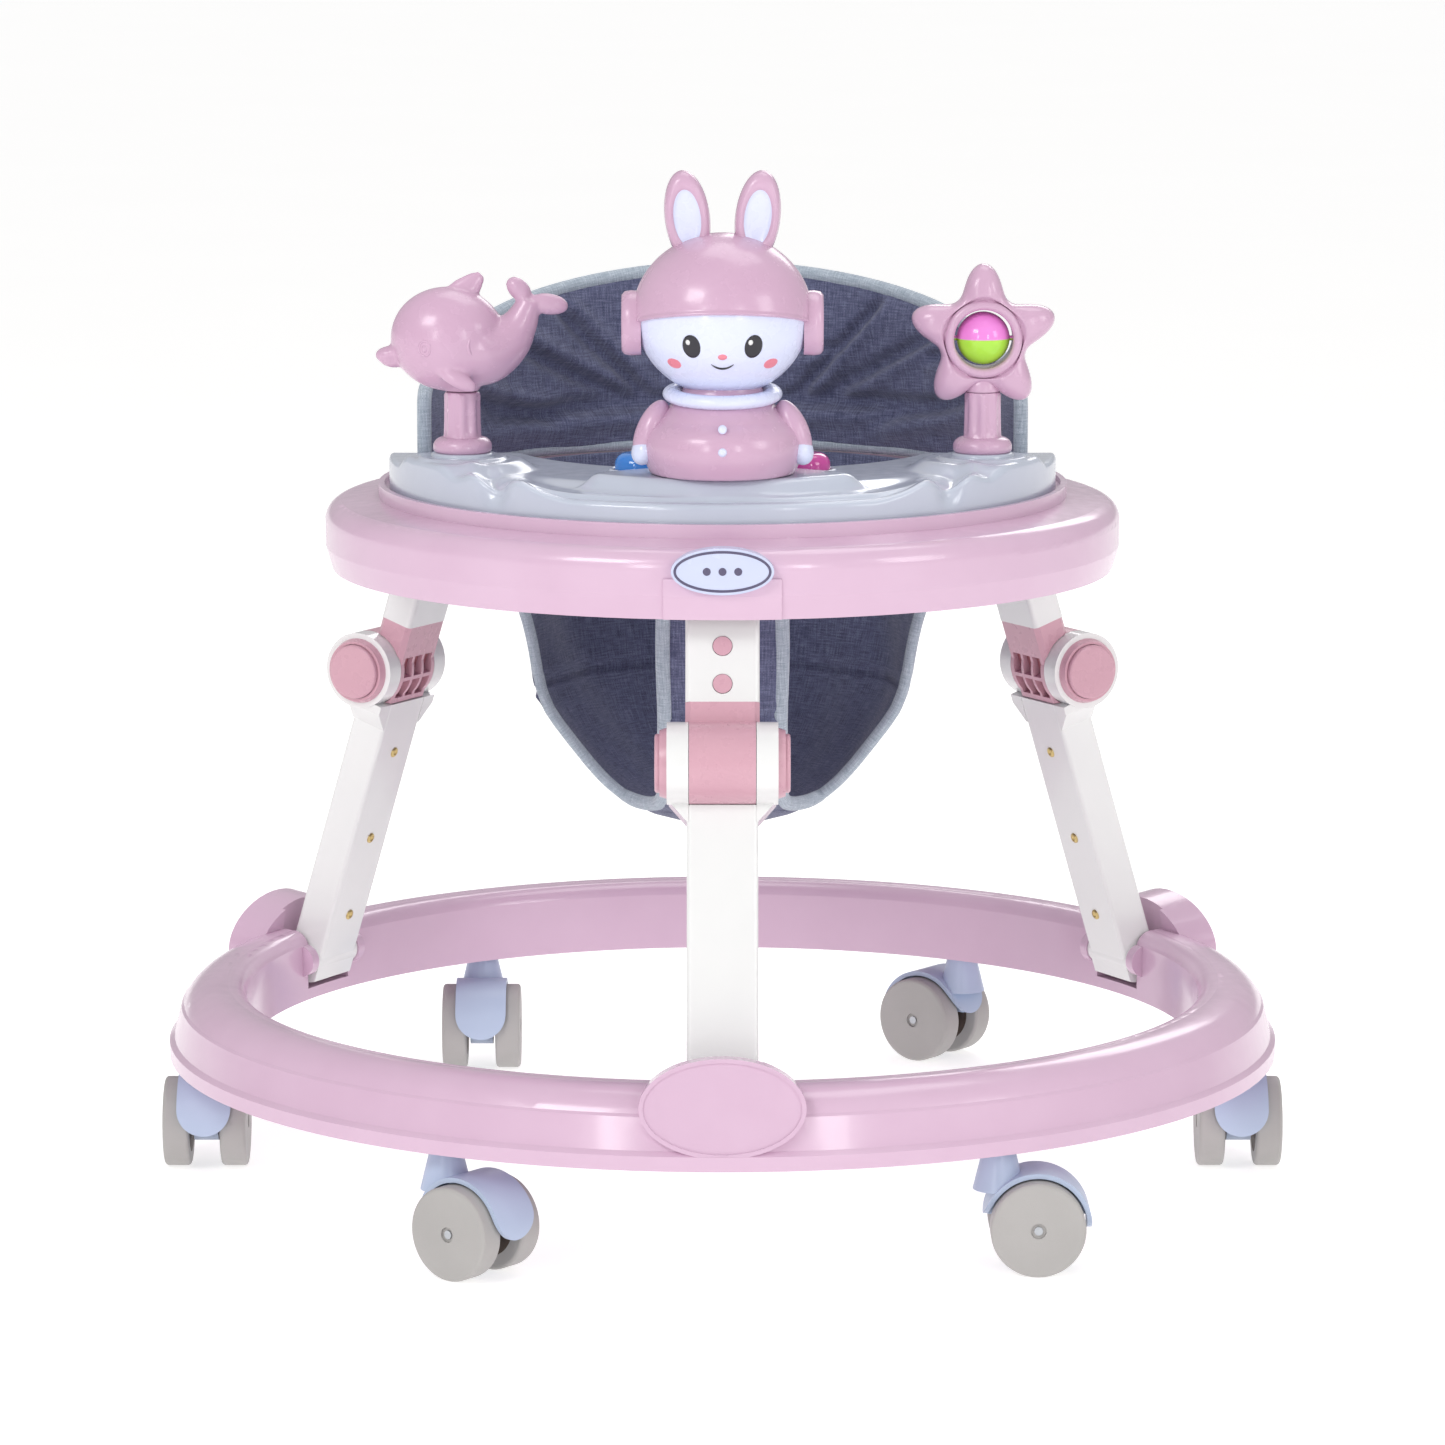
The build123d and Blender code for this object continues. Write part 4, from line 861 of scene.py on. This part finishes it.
def padOutline(count):
    # a rounded oblong between the shelf and the crown, in even steps: its half width goes with the 0.16th
    # power of a cosine, and its half height with the 0.3rd power of the sine
    c = np.unique(np.concatenate([np.linspace(0, 1, 400) ** 6.25, np.cos(np.linspace(0, math.pi / 2, 400))]))
    c = np.concatenate([c[::-1], -c[1:]])
    s = np.sqrt(np.maximum(1 - c ** 2, 0))
    c, s = np.concatenate([c, c[-2:0:-1]]), np.concatenate([s, -s[-2:0:-1]])
    across = pad["reach"] * np.sign(c) * np.abs(c) ** 0.16
    low, top = pad["lowZ"], padTop(across)
    up = (low + top) / 2 + (top - low) / 2 * np.sign(s) * np.abs(s) ** 0.3
    steps = np.hypot(np.diff(across, append=across[:1]), np.diff(up, append=up[:1]))
    far = np.concatenate([[0], np.cumsum(steps)])
    even = np.linspace(0, far[-1], count, endpoint=False)
    return np.interp(even, far, np.append(across, across[0])), np.interp(even, far, np.append(up, up[0]))


def bendRound(across, up, deep):
    # wraps a flat layout round the back of the seat; deep is outward
    angle = across / pad["midR"]
    r = pad["midR"] + deep
    return np.stack([r * np.sin(angle), r * np.cos(angle), up], -1)


def crease(s, z, start, end, width, depth):
    # a valley along a straight line, with a low bank on one side, fading at its ends
    start, end = np.array(start, float), np.array(end, float)
    line = end - start
    length = np.hypot(*line)
    t = ((s - start[0]) * line[0] + (z - start[1]) * line[1]) / length ** 2
    away = ((s - start[0]) * line[1] - (z - start[1]) * line[0]) / length
    fade = smooth(-0.05, 0.2, t) * smooth(1.05, 0.8, t)
    return depth * fade * (bell(away, 0, width) - 0.45 * bell(away, 1.9 * width, 1.3 * width))


# each crease: from and to in millimetres round and up, its width and its depth
padCreases = [
    ((-60, 452), (-176, 505), 4.2, 5.2),
    ((-42, 447), (-120, 520), 4.0, 4.2),
    ((-105, 440), (-225, 470), 4.5, 5.0),
    ((-14, 450), (-48, 526), 3.6, 3.2),
    ((58, 452), (168, 508), 4.2, 5.0),
    ((40, 447), (112, 522), 3.8, 4.2),
    ((98, 440), (230, 474), 4.6, 5.2),
    ((16, 452), (38, 524), 3.4, 3.0),
    ((-190, 449), (190, 455), 5.0, 5.5),
    ((-150, 482), (-240, 489), 3.6, 3.2),
    ((146, 486), (238, 484), 3.6, 3.4),
    ((-70, 487), (-20, 478), 3.2, 2.2),
    ((26, 480), (84, 489), 3.2, 2.2),
]


def makePad():
    share = np.concatenate([np.linspace(0, 1, 40), np.linspace(1, 0, 40)[1:]])
    side = np.where(np.arange(len(share)) < 40, -1.0, 1.0)
    across, up = padOutline(480)
    middle = (pad["lowZ"] + padTop(0)) / 2
    s = share[:, None] * across[None]
    z = middle + share[:, None] * (up - middle)[None]
    deep = (side * pad["half"] * np.sqrt(np.maximum(1 - share ** 8, 0)))[:, None] * np.ones_like(s)
    pillow = grid(bendRound(s, z, deep), closeColumns=True)
    piece = newPiece("backrestPad", pillow, [linen], "pad_linen", sharp=180)
    remesh = piece.modifiers.new("remesh", "REMESH")
    remesh.mode = "VOXEL"
    remesh.voxel_size = pad["voxel"]
    applyModifiers(piece)
    start = getPoints(piece.data)
    scene = bpy.context.scene
    # the seam under the piping holds the edge while the filling swells the rest
    along = np.arctan2(start[:, 0], start[:, 1]) * pad["midR"]
    up = start[:, 2] * 1000
    near = np.minimum(np.minimum(padTop(along) - up, up - pad["lowZ"]), pad["reach"] - np.abs(along))
    seam = piece.vertex_groups.new(name="seam")
    seam.add(np.flatnonzero(near < pad["seam"]).tolist(), 1.0, "REPLACE")
    cloth = piece.modifiers.new("cloth", "CLOTH")
    cloth.settings.vertex_group_mass = "seam"
    cloth.settings.use_pressure = True
    cloth.settings.uniform_pressure_force = pad["pressure"]
    cloth.settings.effector_weights.gravity = 0
    cloth.settings.quality = 6
    for step in range(1, pad["frames"] + 1):
        scene.frame_set(step)
    applyModifiers(piece)
    scene.frame_set(1)
    moved = getPoints(piece.data) - start
    length = np.linalg.norm(moved, axis=1, keepdims=True) * 1000
    setPoints(piece.data, start + moved * np.minimum(1, pad["most"] / np.maximum(length, 1e-9)))
    finer = piece.modifiers.new("finer", "SUBSURF")
    finer.levels = finer.render_levels = 1
    applyModifiers(piece)

    # the creases and a soft pucker go into the side that faces the seat, and the pad is kept off the shelf
    points = getPoints(piece.data) * 1000
    angle = np.arctan2(points[:, 0], points[:, 1])
    radius = np.hypot(points[:, 0], points[:, 1])
    s, z = angle * pad["midR"], points[:, 2]
    inner = smooth(pad["midR"] + 1, pad["midR"] - 4, radius)
    push = pad["creaseDepth"] * sum(crease(s, z, *values) for values in padCreases)
    push = push + 1.2 * np.sin(s / 13 + 1.5 * np.sin(z / 17)) * np.sin(z / 19 + s / 41)
    push = pad["deepest"] * np.tanh(push / pad["deepest"])
    border = smooth(0, 10, padTop(s) - z) * smooth(0, 9, z - pad["lowZ"])
    radius = radius + inner * border * push
    points = np.stack([radius * np.sin(angle), radius * np.cos(angle), np.maximum(z, 420.6)], -1)
    setPoints(piece.data, points * 0.001)
    while piece.data.uv_layers:
        piece.data.uv_layers.remove(piece.data.uv_layers[0])
    setThreads(piece.data, np.stack([s, z], -1))
    piece.data.materials.clear()
    piece.data.materials.append(linen)
    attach(piece, "tray")
    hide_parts("backrest_pad")

    across, up = padOutline(700)
    path = bendRound(across, np.maximum(up - 1.0, pad["shelfZ"] + pad["pipingR"]), np.zeros_like(across))
    rope = tube(path, unit(path * [1, 1, 0]), pad["pipingR"], sides=14)
    newPiece("backrestPiping", rope, [piping], "pad_linen", "tray", sharp=180)


makePad()
print("backrest pad made")

# seat sling: a cloth bucket hung from the tray, with two leg openings in front
sling = {
    "centreY": 25.0,
    "hemZ": 394.0,
    "closeR": 54.8,
    "strapHalf": 35.0,
    "crotchHalf": 52.0,
    "backY": 8.0,
    "thick": 2.6,
    "pipingR": 4.6,
    "keep": 0.15,
    "seamZ": 287.0,
    "flatWidth": 960.0,
    "flatLength": 360.0,
    "flatArea": 0.131,
}
slingProfile = [
    (148.4, 421.0),
    (148.3, 418.5),
    (148.2, 414),
    (147.6, 409),
    (145.6, 403.5),
    (143.5, 399),
    (141, 394),
    (136, 378),
    (128, 358),
    (122.5, 341),
    (118.5, 318),
    (114.5, 295),
    (108, 278),
    (99, 265),
    (90, 253),
    (80, 241),
    (66, 228),
    (54.7, 221),
    (48, 217),
    (32, 212),
    (16, 210),
    (0, 209.5),
]


def slingRows():
    # the bucket's radius and height at even steps down its side, with one row on the hem and one where the
    # leg openings close
    r, z = np.array(slingProfile, float).T
    far = np.concatenate([[0], np.cumsum(np.hypot(np.diff(r), np.diff(z)))])
    closing = (54.7, 221)
    marks = far[[0, list(z).index(sling["hemZ"]), slingProfile.index(closing), len(r) - 1]]
    counts = (18, 70, 26)
    stops = [np.linspace(marks[k], marks[k + 1], counts[k], endpoint=False) for k in range(3)]
    even = np.append(np.concatenate(stops), marks[-1])
    return np.interp(even, far, r), np.interp(even, far, z), even, counts[0], counts[0] + counts[1]


def openingAngles(radius):
    # where a circle of that radius crosses the strap's edge and the back of the leg opening, from the front;
    # the strap widens towards the back, so its edge is found by going round until it settles
    strap = np.full_like(radius, 0.3)
    for k in range(30):
        y = sling["centreY"] - radius * np.cos(strap)
        widen = np.clip((y + 60) / (sling["backY"] + 60), 0, 1)
        half = sling["strapHalf"] + (sling["crotchHalf"] - sling["strapHalf"]) * widen ** 2
        strap = np.arcsin(np.clip(half / np.maximum(radius, 1e-3), 0, 0.999))
    back = np.arccos(np.clip((sling["centreY"] - sling["backY"]) / np.maximum(radius, 1e-3), 0, 1))
    closing = math.atan2(sling["crotchHalf"], sling["centreY"] - sling["backY"])
    small = radius < sling["closeR"]
    strap = np.where(small, closing, np.minimum(strap, back))
    return strap, np.where(small, closing, np.maximum(strap, back))


def slingFolds(a, r, z):
    # soft hanging folds: waves down the cloth that die out at the tray and at the seat's bottom
    live = smooth(409, 380, z) * smooth(30, 90, r)
    wave = 1.9 * np.sin(7 * a + 1.1 * np.sin(z / 31)) + 1.3 * np.sin(13 * a - z / 23)
    wave = wave + 0.8 * np.sin(z / 11 + 3 * np.cos(a))
    seam = 1.6 * bell(z, sling["seamZ"], 2.2) - 1.5 * bell(z, sling["seamZ"] + 4.5, 2.6)
    return r + live * (0.8 * wave) + seam * smooth(40, 70, r)


def makeSling():
    r, z, down, hemRow, closeRow = slingRows()
    strap, back = openingAngles(r)
    counts = (30, 34, 100)
    front, hole, rear = (np.linspace(0, 1, n, endpoint=False) for n in counts)
    s, b = strap[:, None], back[:, None]
    right = np.concatenate([s * front, s + (b - s) * hole, b + (math.pi - b) * rear], 1)
    a = np.concatenate([right, np.full((len(r), 1), math.pi), 2 * math.pi - right[:, :0:-1]], 1)
    radius, height = r[:, None] * np.ones_like(a), z[:, None] * np.ones_like(a)
    folded = slingFolds(a, radius, height)
    x, y = folded * np.sin(a), sling["centreY"] - folded * np.cos(a)
    points = np.stack([x, y, height], -1)
    uv = np.stack([a * 125, np.broadcast_to(down[:, None], a.shape)], -1)
    flat, faces, finish, threads = grid(points, closeColumns=True, uv=uv)
    columns = a.shape[1]
    row, column = faces[:, 0] // columns, faces[:, 0] % columns
    firstOpen, endOpen = counts[0], counts[0] + counts[1]
    mirrored = columns - 1 - column
    inHole = ((column >= firstOpen) & (column < endOpen)) | ((mirrored >= firstOpen) & (mirrored < endOpen))
    keep = ~(inHole & (row >= hemRow))
    surface = (flat, faces[keep], finish[keep], threads)
    piece = newPiece("seatSling", surface, [linen], "pad_linen", sharp=180, closed=False)
    wall = piece.modifiers.new("wall", "SOLIDIFY")
    wall.thickness = sling["thick"] * 0.001
    wall.offset = 0
    applyModifiers(piece)
    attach(piece, "tray")
    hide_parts("seat_sling")
    measured = sum(p.area for p in piece.data.polygons) / 2
    print("sling cloth area in square metres:", round(measured, 4))

    # a piped edge runs down the strap, round the closing of each opening, up the back and along the hem
    edges = []
    for mirror in (1, -1):
        rows = np.arange(hemRow, closeRow + 1)
        downLine = points[rows, firstOpen]
        upLine = points[rows[::-1], endOpen]
        topLine = points[hemRow, endOpen:firstOpen:-1]
        loop = np.concatenate([downLine, upLine[1:], topLine[1:]])
        loop = loop * [mirror, 1, 1]
        soft = np.concatenate([loop[-6:], loop, loop[:6]])
        weights = np.ones(7) / 7
        soft = np.stack([np.convolve(soft[:, k], weights, "valid") for k in range(3)], -1)[3:-3]
        out = unit((soft - [0, sling["centreY"], 300]) * [1, 1, 0.15])
        edges.append(tube(soft, out, sling["pipingR"], sides=12, flat=0.75))
    edge = newPiece("slingPiping", gather(*edges), [piping], "pad_linen", "tray", sharp=180)
    for soft in (piece, edge):
        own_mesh(soft)


makeSling()
print("seat sling made")

# small trim that rides with the legs, casters and badge
leg = {
    "kneeR": 246.0,
    "kneeZ": 290.0,
    "lean": 18.0,
    "back": 22.35,
    "sleeveBack": 21.35,
    "screws": (-52.0, -112.0, -166.0),
    "windowWidth": 8.2,
    "windowHeight": 12.1,
    "windowPitchX": 11.2,
    "windowPitchS": 14.9,
    "windowLowS": -6.5,
    "screwR": 3.4,
    "dimpleR": 1.8,
}


def fromLeg(across, inward, along, angle):
    # a place given across the leg, inward through it and up along it from the knee
    lean = math.radians(leg["lean"])
    y = -leg["kneeR"] + inward * math.cos(lean) + along * math.sin(lean)
    z = leg["kneeZ"] - inward * math.sin(lean) + along * math.cos(lean)
    return turned(np.array([across, y, z], float), angle)


def legWays(angle):
    lean = math.radians(leg["lean"])
    right = turned(np.array([1.0, 0, 0]), angle)
    inward = turned(np.array([0, math.cos(lean), -math.sin(lean)]), angle)
    along = turned(np.array([0, math.sin(lean), math.cos(lean)]), angle)
    return right, inward, along


def makeLegTrim(name, angle):
    right, inward, along = legWays(angle)
    plate = [(0, 1.5), (0.8, 1.5), (0.93, 1.3), (1, 0.8), (1, -0.3), (0, -0.3)]
    half = (leg["windowWidth"] / 2, leg["windowHeight"] / 2)
    # dark rose plates set into the knuckle windows are painted shade in the recesses
    windows = []
    for column in (-1, 0, 1):
        for row in (0, 1):
            across, s = column * leg["windowPitchX"], leg["windowLowS"] + row * leg["windowPitchS"]
            place = fromLeg(across, leg["sleeveBack"] - 4, s, angle)
            windows.append(dish(place, right, along, inward, *half, plate, columns=40, corner=0.3))
    recessShade = gather(*windows)
    newPiece(name + "WindowShade", recessShade, [moulded["window"]], "rose_hinge", name + "_upper", sharp=40)

    rim = [(0.42, -0.2), (0.5, 1.3), (0.8, 1.15), (0.96, 0.6), (1, -0.3), (0, -0.4)]
    dimple = [(0, 0.35), (0.5, 0.45), (1, 1.2)]
    screws = []
    for s in leg["screws"]:
        place = fromLeg(0, leg["back"], s, angle)
        for r, profile in ((leg["screwR"], rim), (leg["dimpleR"], dimple)):
            screws.append(dish(place, right, along, inward, r, r, profile, columns=32))
    newPiece(name + "Screws", gather(*screws), [brassScrew], "steel", name + "_lower", sharp=40)


for name, angle in legAngles.items():
    makeLegTrim(name, angle)

caster = {"discR": 19.5, "discFace": 9.3, "discDepth": 2.2}


def makeCasterTrim(name):
    # dark dished discs on the wheels' inner faces, painted shade between the wheels, set square to the axle
    # as it was built
    points = getPoints(nodes["caster_" + name + "_wheels"].data) * 1000
    centre = (points.min(0) + points.max(0)) / 2
    axle = getPoints(nodes["caster_" + name + "_axle"].data) * 1000
    axis = unit(np.linalg.svd(axle - axle.mean(0), full_matrices=False)[2][0])
    side = unit(np.cross(axis, [0, 0, 1.0]))
    r, face, deep = caster["discR"], caster["discFace"], caster["discDepth"]
    bowl = [(0, face + 0.9), (0.55, face + 0.8), (0.86, face + 0.2), (0.94, face), (1, face + 0.3)]
    bowl += [(1, face + deep), (0, face + deep)]
    discs = [dish(centre, side, (0, 0, 1), axis * sign, r, r, bowl, columns=64) for sign in (-1, 1)]
    newPiece("wheelShadeDiscs." + name, gather(*discs), [moulded["hubShade"]], "wheel_grey", "wheels_" + name)


for name in casterNames:
    makeCasterTrim(name)

badge = {"y": -246.5, "z": 401.0, "halfWidth": 29.5, "halfHeight": 13.5, "inset": 2.2, "dotR": 2.3}


def makeBadge():
    # a thin oval line inside the plate's edge, and three plain dots
    a = circle(160)
    across = (badge["halfWidth"] - badge["inset"]) * np.cos(a)
    up = badge["z"] + (badge["halfHeight"] - badge["inset"]) * np.sin(a)
    ring = np.stack([across, np.full(len(a), badge["y"]), up], -1)
    parts = [tube(ring, np.broadcast_to([0.0, -1.0, 0.0], ring.shape), 0.75, sides=10, flat=0.6)]
    r = badge["dotR"]
    for x in (-9, 0, 9):
        place = (x, badge["y"], badge["z"])
        parts.append(dish(place, (1, 0, 0), (0, 0, 1), (0, -1, 0), r, r, domed(7, 0.7, -0.3), columns=32))
    newPiece("badgeTrim", gather(*parts), [moulded["line"]], "badge_plate", "tray", sharp=60)


makeBadge()
print("trim made")

# floor, lights and camera
studio = {
    "floor": ("#DAD9D8", "#D6D5D4"),
    "floorGlow": 0.6,
    "floorHalf": 60000.0,
    "cloudSize": 400,
    "sky": "#FFFFFF",
    "lowStrength": 0.4,
    "highStrength": 0.58,
}
view = {"focal": 152.49, "sensor": 36, "far": 50, "at": (0, -3.70836, 0.890274), "dip": 0.165}
# each softbox: where it hangs, what it faces, its width and height in metres, and its power in watts
softboxes = {
    "keyLight": ((-1.6, -2.1, 2.2), (0, 0, 0.35), 1.1, 0.9, 29),
    "fillLight": ((2.3, -1.6, 1.4), (0, 0, 0.35), 0.9, 1.2, 14),
    "topLight": ((0.3, 0.5, 2.6), (0, 0, 0.3), 1.6, 1.2, 13),
    "backLight": ((0.7, 2.4, 1.7), (0, 0, 0.35), 1.4, 0.9, 12),
    "leftStrip": ((-1.15, -2.9, 1.0), (0, 0, 0.35), 0.28, 1.0, 8),
    "rightStrip": ((1.15, -2.9, 1.0), (0, 0, 0.35), 0.28, 1.0, 8),
}


def makeStudio():
    # opal acrylic lit from below, running past the horizon of the view
    shader = {
        "Roughness": 0.6,
        "Emission Color": toLinear(studio["sky"]),
        "Emission Strength": studio["floorGlow"],
        "Specular IOR Level": 0.2,
    }
    material, tree, surface = newMaterial("whiteFloorOpalAcrylic", shader)
    light, shade = (toLinear(c) for c in studio["floor"])
    cloud = noise(tree, objectPlace(tree), studio["cloudSize"])
    wire(tree, surface, {"Base Color": blend(tree, cloud, shade, light)})
    half = studio["floorHalf"]
    x, y = np.meshgrid([-half, 0, half], [-half, 0, half])
    floor = newPiece("floor", grid(np.stack([x, y, 0 * x], -1)), [material], "pink_shell", closed=False)
    del floor["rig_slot"]

    # a white room, a little dimmer low down so that glossy sides keep their shape
    world = bpy.data.worlds.new("studio")
    world.use_nodes = True
    tree = world.node_tree
    background = tree.nodes["Background"]
    ray = addNode(tree, "ShaderNodeTexCoord").outputs["Generated"]
    height = addNode(tree, "ShaderNodeSeparateXYZ", {"Vector": ray}).outputs["Z"]
    strength = spread(tree, height, studio["lowStrength"], studio["highStrength"], 0.0, 0.8)
    background.inputs[0].default_value = toLinear(studio["sky"])
    wire(tree, background, {"Strength": strength})
    bpy.context.scene.world = world
    for name, (at, target, width, height, power) in softboxes.items():
        light = bpy.data.lights.new(name, "AREA")
        light.shape = "RECTANGLE"
        light.size, light.size_y, light.energy = width, height, power
        lamp = bpy.data.objects.new(name, light)
        lamp.location = at
        aimX, aimY, aimZ = np.array(target, float) - np.array(at, float)
        lamp.rotation_euler = (math.atan2(math.hypot(aimX, aimY), -aimZ), 0, math.atan2(-aimX, aimY))
        bpy.context.scene.collection.objects.link(lamp)
    bpy.context.scene.view_settings.view_transform = "Standard"


def makeCamera():
    lens = bpy.data.cameras.new("camera")
    lens.sensor_width = view["sensor"]
    lens.lens = view["focal"]
    lens.clip_end = view["far"]
    eye = bpy.data.objects.new("camera", lens)
    eye.location = view["at"]
    eye.rotation_euler = (math.pi / 2 - view["dip"], 0, 0)
    bpy.context.scene.collection.objects.link(eye)
    bpy.context.scene.camera = eye


makeStudio()
makeCamera()
print("studio made")
